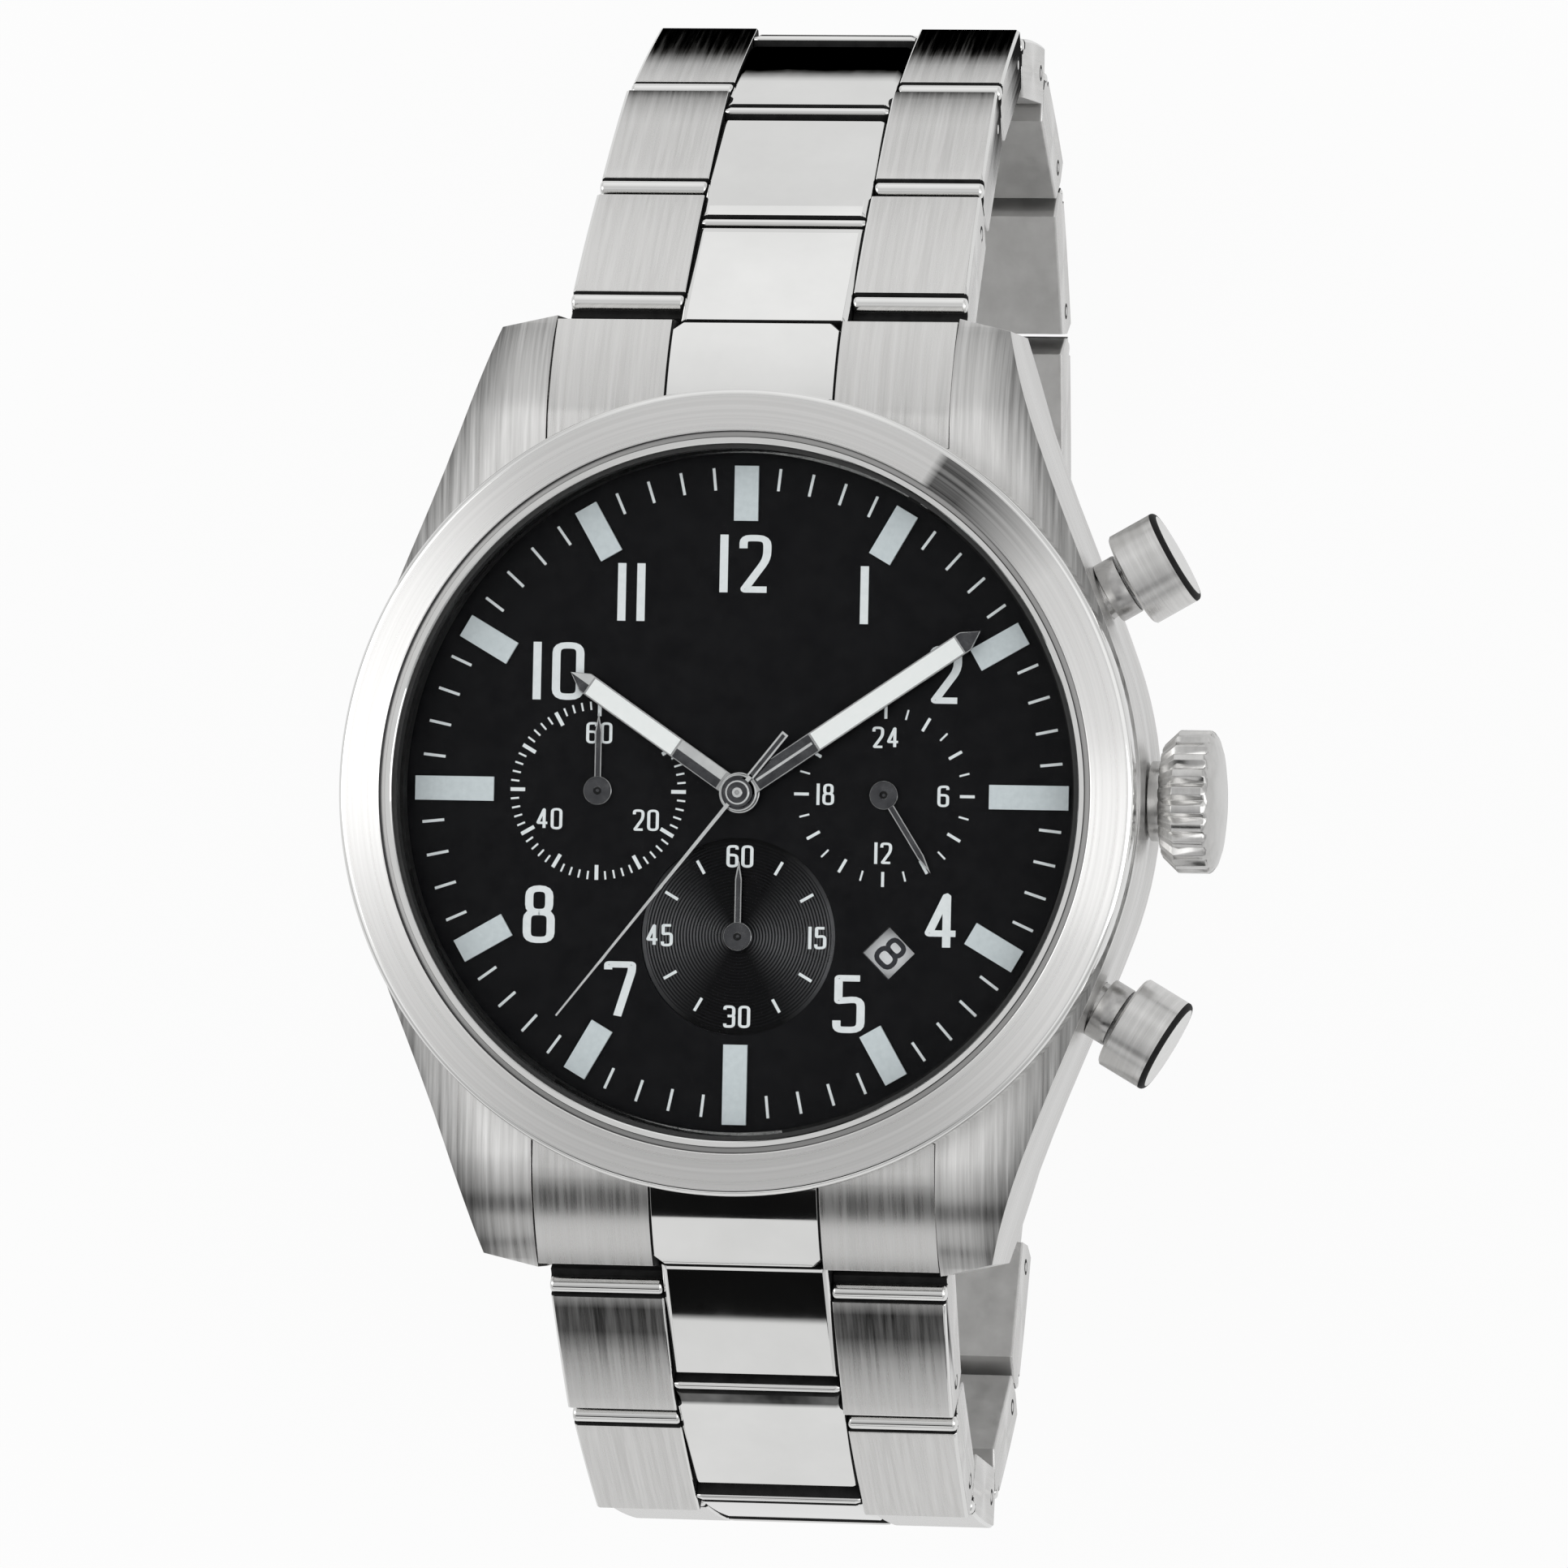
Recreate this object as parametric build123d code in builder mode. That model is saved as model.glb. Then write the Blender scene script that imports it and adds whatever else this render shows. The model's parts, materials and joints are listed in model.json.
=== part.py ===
from build123d import *
import os
from math import cos, radians, sin, sqrt

os.makedirs("parts", exist_ok=True)

# Round-cased chronograph wristwatch on a three-piece-link bracelet, in millimetres.
# The origin is the centre of the case back's outer face. +Z leaves through the dial,
# +Y points to 12 o'clock and +X to the crown at 3 o'clock.
finished = []

# heights above the case back's outer face
band_bottom = 0.9
band_top = 8.9
dial_top = 8.5
dial_thickness = 0.4
ledge_top = 9.9
bezel_top = 11.1
stem_height = 4.9
movement_bottom = 3.4
movement_top = 7.45
date_disc_bottom = 7.62

# radii of the head
case_radius = 21.7
bezel_radius = 21.6
bezel_step_radius = 19.4
crystal_seat_radius = 18.65
crystal_radius = 18.38
rehaut_radius = 18.2
dial_radius = 18.6
case_bore_radius = 18.0
movement_radius = 15.2
wall_between_lugs = 20.4
# holes for the crown and the pushers, drilled from the flank towards the middle
pusher_angle = 30
flank_hole_start = 16
flank_hole_depth = 8
crown_tube_hole = 1.62
pusher_tube_hole = 1.32

# lugs and the end links between them
lug_gap = 22.0
lug_tip_inner = (11.0, 25.7)
lug_tip_outer = (13.9, 25.0)
flank_start_angle = 19.0
spring_bar_y = 21.65
spring_bar_z = 4.2
spring_bar_radius = 0.75
spring_bar_tip_radius = 0.45
spring_bar_tip_reach = 12.3

# bracelet: every row turns on a pin at half its thickness
row_pitch = 9.0
half_thickness = 1.7
pin_radius = 0.45
pin_bore = 0.50
pin_to_far_end = 1.35
pin_to_near_end = 1.0
row_gap = 0.2
centre_half_width = 4.6
side_gap = 0.05
notch_run = 0.75
edge_bevel = 0.2
hinge_y = 24.15
hinge_z = 3.6
# how far each row leans below the dial's plane, from the case outwards
tilts_12 = (42, 46, 62, 88, 122, 152, 170)
tilts_6 = (35, 51, 82, 122, 150)
# bracelet width at the case and after each row
widths = (21.8, 21.3, 20.8, 20.4, 20.2, 20.0, 20.0, 20.0)

# small dials, hands and date window
nine_dial = (-7.8, 0.0)
three_dial = (7.8, 0.0)
six_dial = (0.0, -7.7)
date_place = (8.2, -8.44)
date_window = 2.0


# ---------------------------------------------------------------- case
flank_start = (
    case_radius * cos(radians(flank_start_angle)),
    case_radius * sin(radians(flank_start_angle)),
)
with BuildPart() as case_middle:
    with BuildSketch(Plane.XY):
        Circle(case_radius)
        with BuildLine():
            Spline(flank_start, (17.75, 14.0), lug_tip_outer, tangents=[(-0.33, 0.94), (-0.26, 0.97)])
            Polyline(lug_tip_outer, lug_tip_inner, (0, lug_tip_inner[1]), (0, 0), flank_start)
        make_face()
        mirror(about=Plane.XZ)
        mirror(about=Plane.YZ)
    extrude(amount=band_top)
    # side view: lugs fall away from the band to their tips
    with BuildSketch(Plane.YZ):
        with BuildLine():
            Line((0, band_top), (19.2, band_top))
            ThreePointArc((19.2, band_top), (22.9, 8.15), (25.8, 6.1))
            Line((25.8, 6.1), (25.6, 1.3))
            ThreePointArc((25.6, 1.3), (23.2, 0.45), (20.0, band_bottom))
            Line((20.0, band_bottom), (0, band_bottom))
            Line((0, band_bottom), (0, band_top))
        make_face()
        mirror(about=Plane.YZ)
    extrude(amount=case_radius + 1, both=True, mode=Mode.INTERSECT)
    # room for the end links
    with BuildSketch(Plane.XY):
        Rectangle(lug_gap, 3 * lug_gap)
        Circle(wall_between_lugs, mode=Mode.SUBTRACT)
    extrude(amount=band_top, mode=Mode.SUBTRACT)
    # stepped bore: case back seat, gasket seat, movement, dial
    with BuildSketch(Plane.XZ):
        Polygon(
            (0, 0),
            (18.95, 0),
            (18.95, 2.0),
            (case_bore_radius, 2.0),
            (case_bore_radius, 8.05),
            (dial_radius + 0.1, 8.05),
            (dial_radius + 0.1, band_top + 1),
            (0, band_top + 1),
            align=None,
        )
    revolve(axis=Axis.Z, mode=Mode.SUBTRACT)
    # crown tube and spring bar holes
    with BuildSketch(Plane.YZ.offset(flank_hole_start)):
        with Locations((0, stem_height)):
            Circle(crown_tube_hole)
    extrude(amount=flank_hole_depth, mode=Mode.SUBTRACT)
    with BuildSketch(Plane.YZ):
        with Locations((spring_bar_y, spring_bar_z), (-spring_bar_y, spring_bar_z)):
            Circle(spring_bar_tip_radius + 0.05)
    extrude(amount=spring_bar_tip_reach + 0.1, both=True, mode=Mode.SUBTRACT)
    for angle in (pusher_angle, -pusher_angle):
        pusher_way = (cos(radians(angle)), sin(radians(angle)), 0)
        pusher_plane = Plane(origin=(0, 0, stem_height), x_dir=(0, 0, 1), z_dir=pusher_way)
        with BuildSketch(pusher_plane.offset(flank_hole_start)):
            Circle(pusher_tube_hole)
        extrude(amount=flank_hole_depth, mode=Mode.SUBTRACT)
case_middle.part.label = "case_middle"
finished.append(case_middle)

with BuildPart() as bezel:
    with BuildSketch(Plane.XZ):
        with BuildLine():
            Polyline(
                (rehaut_radius, band_top),
                (rehaut_radius, ledge_top),
                (crystal_seat_radius, ledge_top),
                (crystal_seat_radius, 10.8),
                (18.95, bezel_top - 0.1),
                (19.3, bezel_top - 0.06),
                (bezel_step_radius, bezel_top - 0.22),
                (bezel_step_radius + 0.1, bezel_top),
                (21.2, 10.82),
                (21.47, 10.7),
                (bezel_radius, 10.42),
                (bezel_radius, 9.15),
                (21.4, band_top),
                (rehaut_radius, band_top),
            )
        make_face()
    revolve(axis=Axis.Z)
bezel.part.label = "bezel"
finished.append(bezel)

with BuildPart() as crystal:
    with BuildSketch(Plane.XY.offset(ledge_top)):
        Circle(crystal_radius)
    extrude(amount=1.2)
    chamfer(crystal.edges().group_by(Axis.Z)[-1], 0.2)
crystal.part.label = "crystal"
finished.append(crystal)

with BuildPart() as crystal_gasket:
    with BuildSketch(Plane.XY.offset(ledge_top)):
        Circle(crystal_seat_radius - 0.02)
        Circle(crystal_radius + 0.02, mode=Mode.SUBTRACT)
    extrude(amount=0.88)
crystal_gasket.part.label = "crystal_gasket"
finished.append(crystal_gasket)

with BuildPart() as case_back:
    with BuildSketch(Plane.XZ):
        Polygon(
            (0, 0),
            (15.6, 0),
            (16.2, 0.35),
            (18.85, 0.95),
            (18.85, 1.4),
            (17.9, 1.4),
            (17.9, 2.5),
            (17.2, 2.5),
            (17.2, 1.5),
            (0, 1.5),
            align=None,
        )
    revolve(axis=Axis.Z)
    # six slots for the case wrench
    with BuildSketch(Plane.XY):
        with PolarLocations(17.6, 6):
            Rectangle(1.4, 2.2)
    extrude(amount=0.9, mode=Mode.SUBTRACT)
case_back.part.label = "case_back"
finished.append(case_back)

with BuildPart() as case_back_gasket:
    with BuildSketch(Plane.XY.offset(1.45)):
        Circle(18.62)
        Circle(18.02, mode=Mode.SUBTRACT)
    extrude(amount=0.5)
case_back_gasket.part.label = "case_back_gasket"
finished.append(case_back_gasket)

# ---------------------------------------------------------------- dial
dial_foot_radius = 0.4
dial_foot_length = 1.2
dial_foot_places = [(16.6 * cos(radians(a)), 16.6 * sin(radians(a))) for a in (50, 230)]
sunk_dial_radius = 5.3
sunk_dial_depth = 0.15
with BuildPart() as dial:
    with BuildSketch(Plane.XY.offset(dial_top - dial_thickness)):
        Circle(dial_radius)
        Circle(0.95, mode=Mode.SUBTRACT)
        with Locations(nine_dial, three_dial, six_dial):
            Circle(0.35, mode=Mode.SUBTRACT)
        with Locations(Location((date_place[0], date_place[1], 0), 45)):
            Rectangle(date_window, date_window, mode=Mode.SUBTRACT)
    extrude(amount=dial_thickness)
    # the lower small dial is sunk below the rest
    with BuildSketch(Plane.XY.offset(dial_top)):
        with Locations(six_dial):
            Circle(sunk_dial_radius)
    extrude(amount=-sunk_dial_depth, mode=Mode.SUBTRACT)
    # feet that hold the dial in the movement ring
    with BuildSketch(Plane.XY.offset(dial_top - dial_thickness)):
        with Locations(*dial_foot_places):
            Circle(dial_foot_radius)
    extrude(amount=-dial_foot_length)
dial.part.label = "dial"
finished.append(dial)

marker_width = 1.3
marker_height = 0.2
with BuildPart() as hour_markers:
    for hour in range(12):
        long_marker = hour in (3, 6, 9)
        inner = 13.5 if long_marker else 14.6
        outer = 17.8 if long_marker else 17.55
        way = (sin(radians(30 * hour)), cos(radians(30 * hour)), 0)
        with BuildSketch(Plane(origin=(0, 0, dial_top), x_dir=way, z_dir=(0, 0, 1))):
            with Locations(((inner + outer) / 2, 0)):
                Rectangle(outer - inner, marker_width)
        extrude(amount=marker_height)
hour_markers.part.label = "hour_markers"
finished.append(hour_markers)

# ---------------------------------------------------------------- movement
with BuildPart() as movement_ring:
    with BuildSketch(Plane.XY.offset(2.7)):
        Circle(case_bore_radius - 0.1)
        Circle(movement_radius + 0.1, mode=Mode.SUBTRACT)
    extrude(amount=5.3)
    with BuildSketch(Plane.XY.offset(8.0)):
        with Locations(*dial_foot_places):
            Circle(dial_foot_radius + 0.05)
    extrude(amount=-dial_foot_length - 0.2, mode=Mode.SUBTRACT)
    # open ways for the stem and the two pusher stems
    for angle in (-pusher_angle, 0, pusher_angle):
        way = (cos(radians(angle)), sin(radians(angle)), 0)
        with BuildSketch(Plane(origin=(0, 0, stem_height), x_dir=(0, 0, 1), z_dir=way)):
            Rectangle(3.6, 3.6)
        extrude(amount=case_bore_radius + 1, mode=Mode.SUBTRACT)
movement_ring.part.label = "movement_ring"
finished.append(movement_ring)

battery_place = (-6.6, -5.2)
battery_radius = 4.75
battery_height = 2.1
arbor_bore = 0.25
disc_inner_radius = 9.7
disc_outer_radius = 14.0
coil_radius = 0.95
coil_reach = 3.1
core_reach = 4.0
coil_places = (((0.5, 11.2), 0), ((-10.6, 5.4), 60), ((5.2, -11.2), 0))
with BuildPart() as movement_plate:
    with BuildSketch(Plane.XY.offset(movement_bottom)):
        Circle(movement_radius)
    extrude(amount=movement_top - movement_bottom)
    # raised seat of the dial, inside and outside the date disc
    with BuildSketch(Plane.XY.offset(movement_top)):
        Circle(movement_radius)
        Circle(disc_outer_radius + 0.1, mode=Mode.SUBTRACT)
        Circle(disc_inner_radius - 0.1)
    extrude(amount=dial_top - dial_thickness - 0.05 - movement_top)
    # bores of the hand arbors
    with BuildSketch(Plane.XY.offset(movement_bottom)):
        Circle(0.80)
        with Locations(nine_dial, three_dial, six_dial):
            Circle(arbor_bore)
    extrude(amount=dial_top - movement_bottom, mode=Mode.SUBTRACT)
    # pockets from the back for the battery and the motor coils
    with BuildSketch(Plane.XY.offset(movement_bottom)):
        with Locations(battery_place):
            Circle(battery_radius + 0.1)
        for place, turn in coil_places:
            with Locations(Location((place[0], place[1], 0), turn)):
                Rectangle(2 * core_reach + 0.4, 2 * coil_radius + 0.3)
    extrude(amount=battery_height + 0.05, mode=Mode.SUBTRACT)
    # way of the winding stem
    with BuildSketch(Plane.YZ.offset(8.6)):
        with Locations((0, stem_height)):
            Circle(0.68)
    extrude(amount=8, mode=Mode.SUBTRACT)
movement_plate.part.label = "movement_plate"
finished.append(movement_plate)

with BuildPart() as circuit_board:
    with BuildSketch(Plane.XY.offset(movement_bottom - 0.35)):
        Circle(movement_radius - 0.4)
        with Locations(battery_place):
            Circle(battery_radius + 0.2, mode=Mode.SUBTRACT)
        Circle(1.0, mode=Mode.SUBTRACT)
    extrude(amount=0.33)
circuit_board.part.label = "circuit_board"
finished.append(circuit_board)

with BuildPart() as motor_coils:
    for place, turn in coil_places:
        along = (cos(radians(turn)), sin(radians(turn)), 0)
        coil_middle = (place[0], place[1], movement_bottom + 1.05)
        with BuildSketch(Plane(origin=coil_middle, x_dir=(0, 0, 1), z_dir=along)):
            Circle(coil_radius)
        extrude(amount=coil_reach, both=True)
        # flat iron core
        with BuildSketch(Plane(origin=coil_middle, x_dir=(0, 0, 1), z_dir=along)):
            Rectangle(0.5, 1.1)
        extrude(amount=core_reach, both=True)
motor_coils.part.label = "motor_coils"
finished.append(motor_coils)

with BuildPart() as battery:
    with BuildSketch(Plane.XY.offset(movement_bottom)):
        with Locations(battery_place):
            Circle(battery_radius)
    extrude(amount=battery_height)
    chamfer(battery.edges().group_by(Axis.Z)[0], 0.25)
battery.part.label = "battery"
finished.append(battery)

with BuildPart() as battery_clamp:
    with BuildSketch(Plane.XY.offset(2.75)):
        with Locations(Location((battery_place[0], battery_place[1], 0), -38)):
            RectangleRounded(12.4, 2.4, 1.0)
    extrude(amount=0.25)
battery_clamp.part.label = "battery_clamp"
finished.append(battery_clamp)

with BuildPart() as date_disc:
    with BuildSketch(Plane.XY.offset(date_disc_bottom)):
        Circle(disc_outer_radius)
        Circle(disc_inner_radius, mode=Mode.SUBTRACT)
    extrude(amount=0.25)
date_disc.part.label = "date_disc"
finished.append(date_disc)


# ---------------------------------------------------------------- hands
# place, resting angle clockwise from 12, blade bottom, length, tail, width, tube radii, tube bottom
def build_hand(label, place, angle, bottom, length, tail, width, tube, bore, tube_bottom, hub):
    way = (sin(radians(angle)), cos(radians(angle)), 0)
    thickness = 0.15
    with BuildPart() as hand:
        with BuildSketch(Plane(origin=(place[0], place[1], bottom), x_dir=way, z_dir=(0, 0, 1))):
            with BuildLine():
                Polyline(
                    (-tail, -width / 2),
                    (length - 0.9 * width, -width / 2),
                    (length, 0),
                    (length - 0.9 * width, width / 2),
                    (-tail, width / 2),
                    (-tail, -width / 2),
                )
            make_face()
            Circle(hub)
        extrude(amount=thickness)
        with BuildSketch(Plane.XY.offset(tube_bottom)):
            with Locations(place):
                Circle(tube)
        extrude(amount=bottom - tube_bottom)
        if bore:
            with BuildSketch(Plane.XY.offset(tube_bottom)):
                with Locations(place):
                    Circle(bore)
            extrude(amount=bottom + thickness - tube_bottom, mode=Mode.SUBTRACT)
    hand.part.label = label
    finished.append(hand)
    return hand


hour_hand = build_hand("hour_hand", (0, 0), 304.2, 8.92, 11.3, 0.6, 1.15, 0.75, 0.50, 6.0, 1.1)
minute_hand = build_hand("minute_hand", (0, 0), 55.7, 9.20, 15.7, 0.6, 1.15, 0.45, 0.20, 5.4, 1.0)
seconds_hand = build_hand("seconds_hand", (0, 0), 218.5, 9.48, 15.5, 4.15, 0.32, 0.15, 0, 4.8, 0.8)
hand_24h = build_hand("hand_24h", three_dial, 147.6, 8.62, 4.9, 1.2, 0.42, 0.2, 0, 6.4, 0.7)
elapsed_minutes_hand = build_hand(
    "elapsed_minutes_hand", nine_dial, 0, 8.62, 4.2, 1.2, 0.42, 0.2, 0, 6.4, 0.7
)
elapsed_seconds_hand = build_hand(
    "elapsed_seconds_hand", six_dial, 0, 8.62, 4.1, 1.2, 0.42, 0.2, 0, 6.4, 0.7
)

# ---------------------------------------------------------------- crown
crown_axis = Axis((0, 0, stem_height), (1, 0, 0))
with BuildPart() as crown_tube:
    with BuildSketch(Plane.XZ.shift_origin((0, 0, stem_height))):
        Polygon(
            (17.7, 1.2),
            (17.7, 1.6),
            (21.75, 1.6),
            (21.75, 2.15),
            (23.35, 2.15),
            (23.35, 1.2),
            align=None,
        )
    revolve(axis=crown_axis)
crown_tube.part.label = "crown_tube"
finished.append(crown_tube)

flute_count = 24
with BuildPart() as crown:
    with BuildSketch(Plane.XZ.shift_origin((0, 0, stem_height))):
        with BuildLine():
            Polyline(
                (24.4, 0),
                (25.65, 0),
                (25.62, 0.9),
                (25.45, 2.1),
                (25.2, 3.05),
                (25.0, 3.5),
                (24.75, 3.85),
                (22.95, 3.85),
                (22.2, 3.1),
                (22.2, 2.45),
                (23.9, 2.45),
                (23.9, 1.1),
                (22.85, 1.1),
                (22.85, 0.93),
                (22.25, 0.93),
                (22.25, 1.1),
                (20.6, 1.1),
                (20.6, 0.62),
                (24.4, 0.62),
                (24.4, 0),
            )
        make_face()
    revolve(axis=crown_axis)
    # grip flutes round the rim
    with BuildSketch(Plane.YZ.offset(21.9).shift_origin((21.9, 0, stem_height))):
        with PolarLocations(3.95, flute_count):
            Rectangle(0.42, 0.42, rotation=45)
    extrude(amount=2.75, mode=Mode.SUBTRACT)
crown.part.label = "crown"
finished.append(crown)

with BuildPart() as crown_gasket:
    with BuildSketch(Plane.YZ.offset(22.3).shift_origin((22.3, 0, stem_height))):
        Circle(1.15)
        Circle(0.95, mode=Mode.SUBTRACT)
    extrude(amount=0.5)
crown_gasket.part.label = "crown_gasket"
finished.append(crown_gasket)

with BuildPart() as crown_stem:
    with BuildSketch(Plane.YZ.offset(9.0).shift_origin((9.0, 0, stem_height))):
        Circle(0.6)
    extrude(amount=15.3)
crown_stem.part.label = "crown_stem"
finished.append(crown_stem)

# ---------------------------------------------------------------- pushers
# the pushers stand at 2 and 4 o'clock, square to the case's round flank
for hour, angle in (("2", pusher_angle), ("4", -pusher_angle)):
    way = Vector(cos(radians(angle)), sin(radians(angle)), 0)
    half_section = Plane(origin=(0, 0, stem_height), x_dir=way, z_dir=way.cross(Vector(0, 0, 1)))
    pusher_axis = Axis((0, 0, stem_height), way)
    across = Plane(origin=(0, 0, stem_height), x_dir=(0, 0, 1), z_dir=way)

    with BuildPart() as pusher_tube:
        with BuildSketch(half_section):
            Polygon(
                (18.3, 0.8),
                (18.3, 1.3),
                (22.15, 1.3),
                (22.15, 1.7),
                (23.35, 1.7),
                (23.35, 0.8),
                align=None,
            )
        revolve(axis=pusher_axis)
    pusher_tube.part.label = f"pusher_tube_{hour}"
    finished.append(pusher_tube)

    with BuildPart() as pusher:
        with BuildSketch(half_section):
            with BuildLine():
                Polyline(
                    (16.3, 0),
                    (26.55, 0),
                    (26.5, 1.1),
                    (26.36, 2.05),
                    (26.2, 2.4),
                    (25.95, 2.65),
                    (23.8, 2.65),
                    (23.6, 2.45),
                    (23.6, 1.85),
                    (25.2, 1.85),
                    (25.2, 0.74),
                    (18.22, 0.74),
                    (18.22, 0.5),
                    (18.0, 0.5),
                    (18.0, 0.74),
                    (16.3, 0.74),
                    (16.3, 0),
                )
            make_face()
        revolve(axis=pusher_axis)
    pusher.part.label = f"pusher_{hour}"
    finished.append(pusher)

    with BuildPart() as pusher_clip:
        with BuildSketch(across.offset(18.02)):
            Circle(1.2)
            Circle(0.52, mode=Mode.SUBTRACT)
            with Locations((-1, 0)):
                Rectangle(2, 0.9, mode=Mode.SUBTRACT)
        extrude(amount=0.18)
    pusher_clip.part.label = f"pusher_clip_{hour}"
    finished.append(pusher_clip)

    with BuildPart() as pusher_spring:
        with BuildLine() as coil:
            Helix(
                pitch=0.7,
                height=1.4,
                radius=1.25,
                center=way * 23.57 + Vector(0, 0, stem_height),
                direction=way,
            )
        with BuildSketch(Plane(origin=coil.line @ 0, z_dir=coil.line % 0)):
            RegularPolygon(0.12, 4)
        sweep(path=coil.line, is_frenet=True)
    pusher_spring.part.label = f"pusher_spring_{hour}"
    finished.append(pusher_spring)

# ---------------------------------------------------------------- end links
plate_underside = hinge_z + half_thickness + 0.25
end_face_y = hinge_y + pin_to_far_end
groove_width = 0.12
groove_depth = 0.15
plate_corner = 0.6
plate_short = 0.15
for label, side in (("end_link_12", 1), ("end_link_6", -1)):
    side_view = Plane(origin=(0, 0, 0), x_dir=(0, side, 0), z_dir=(side, 0, 0))
    with BuildPart() as end_link:
        # side view: the top follows the lugs, the far end is rounded for the first row
        with BuildSketch(side_view):
            with BuildLine():
                Line((18, 1.9), (18, 8.8))
                Line((18, 8.8), (20.2, 8.75))
                ThreePointArc((20.2, 8.75), (23.0, 7.85), (end_face_y, 6.45))
                Polyline(
                    (end_face_y, 6.45),
                    (end_face_y, hinge_z),
                    (end_face_y - notch_run, hinge_z - half_thickness),
                    (18, 1.9),
                )
            make_face()
        extrude(amount=lug_gap / 2 - side_gap, both=True)
        # curved to the case wall
        with BuildSketch(Plane.XY):
            Circle(wall_between_lugs + 0.05)
        extrude(amount=10, mode=Mode.SUBTRACT)
        # room for the first row's centre piece under the top plate
        with BuildSketch(side_view):
            with Locations((hinge_y, hinge_z)):
                Circle(pin_to_near_end + 0.35)
            Polygon(
                (hinge_y - 0.9, plate_underside),
                (hinge_y + 4, plate_underside),
                (hinge_y + 4, 0),
                (hinge_y - 1.8, 0),
                (hinge_y - 1.8, hinge_z - 0.9),
                (hinge_y - 1.3, hinge_z),
                align=None,
            )
        extrude(amount=centre_half_width + 0.1, both=True, mode=Mode.SUBTRACT)
        # fine grooves down the curved top part the polished centre from the brushed sides
        groove_planes = (side_view.offset(centre_half_width), side_view.offset(-centre_half_width))
        with BuildSketch(*groove_planes):
            with BuildLine():
                Line((18, 10), (18, 8.8 - groove_depth))
                Line((18, 8.8 - groove_depth), (20.2, 8.75 - groove_depth))
                ThreePointArc(
                    (20.2, 8.75 - groove_depth),
                    (23.0, 7.85 - groove_depth),
                    (end_face_y, 6.45 - groove_depth),
                )
                Polyline((end_face_y, 6.45 - groove_depth), (end_face_y, 10), (18, 10))
            make_face()
        extrude(amount=groove_width / 2, both=True, mode=Mode.SUBTRACT)
        # the centre plate ends a little short, with eased corners
        with BuildSketch(Plane.XY.offset(plate_underside - 0.01)):
            with BuildLine():
                Polyline(
                    (-centre_half_width, side * (end_face_y + 1)),
                    (-centre_half_width, side * (end_face_y - plate_corner)),
                    (plate_corner - centre_half_width, side * (end_face_y - plate_short)),
                    (centre_half_width - plate_corner, side * (end_face_y - plate_short)),
                    (centre_half_width, side * (end_face_y - plate_corner)),
                    (centre_half_width, side * (end_face_y + 1)),
                    (-centre_half_width, side * (end_face_y + 1)),
                )
            make_face()
        extrude(amount=4, mode=Mode.SUBTRACT)
        # bores for the hinge pin and the spring bar
        with BuildSketch(side_view):
            with Locations((hinge_y, hinge_z)):
                Circle(pin_radius + 0.02)
            with Locations((spring_bar_y, spring_bar_z)):
                Circle(spring_bar_radius + 0.05)
        extrude(amount=lug_gap, both=True, mode=Mode.SUBTRACT)
    end_link.part.label = label
    finished.append(end_link)

with BuildPart() as lug_spring_bars:
    for side in (1, -1):
        with BuildSketch(Plane.YZ):
            with Locations((side * spring_bar_y, spring_bar_z)):
                Circle(spring_bar_radius)
        extrude(amount=lug_gap / 2 - 0.1, both=True)
        with BuildSketch(Plane.YZ):
            with Locations((side * spring_bar_y, spring_bar_z)):
                Circle(spring_bar_tip_radius)
        extrude(amount=spring_bar_tip_reach, both=True)
lug_spring_bars.part.label = "lug_spring_bars"
finished.append(lug_spring_bars)


# ---------------------------------------------------------------- bracelet rows
# A row's own axes: x runs along it away from the case, y points out of the loop and z
# runs across it. Its inbound hinge is at the origin, its outbound one at row_pitch.
def row_plane(side, place, tilt):
    along = (0, side * cos(radians(tilt)), -sin(radians(tilt)))
    return Plane(origin=(0, place[0], place[1]), x_dir=along, z_dir=(side, 0, 0))


def next_hinge(side, place, tilt):
    return (
        place[0] + side * row_pitch * cos(radians(tilt)),
        place[1] - row_pitch * sin(radians(tilt)),
    )


def outer_outline():
    # seen from the side: rolled bead and step at the near end, eased far end
    near = pin_to_far_end + row_gap
    far = row_pitch + pin_to_far_end
    top = half_thickness
    with BuildLine() as outline:
        Line((near, 0), (near, 0.95))
        ThreePointArc((near, 0.95), (near + 0.42, 1.42), (near + 0.95, 1.3))
        Polyline((near + 0.95, 1.3), (near + 1.0, 1.25), (near + 1.25, top), (far - 0.2, top))
        Polyline((far - 0.2, top), (far, top - 0.2), (far, 0), (far - notch_run, -top))
        Line((far - notch_run, -top), (near + notch_run, -top))
        Line((near + notch_run, -top), (near, 0))
    return outline


def centre_outline(first):
    # seen from the side: rounded near end on the pin, far end clear of the next row
    near = -pin_to_near_end
    far = row_pitch - pin_to_near_end - row_gap
    top = half_thickness
    with BuildLine() as outline:
        if first:
            Line((near, 0), (-0.7, 0.72))
            Line((-0.7, 0.72), (0, top))
            Line((0, top), (far - 0.12, top))
        else:
            Line((near, 0), (near, 0.85))
            ThreePointArc((near, 0.85), (near + 0.4, 1.38), (near + 0.95, 1.35))
            Polyline((near + 0.95, 1.35), (near + 1.0, 1.28), (near + 1.1, 1.28), (near + 1.2, top))
            Line((near + 1.2, top), (far - 0.12, top))
        Polyline((far - 0.12, top), (far, top - 0.12), (far, 0), (far - notch_run, -top))
        Line((far - notch_run, -top), (near + notch_run, -top))
        Line((near + notch_run, -top), (near, 0))
    return outline


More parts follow.
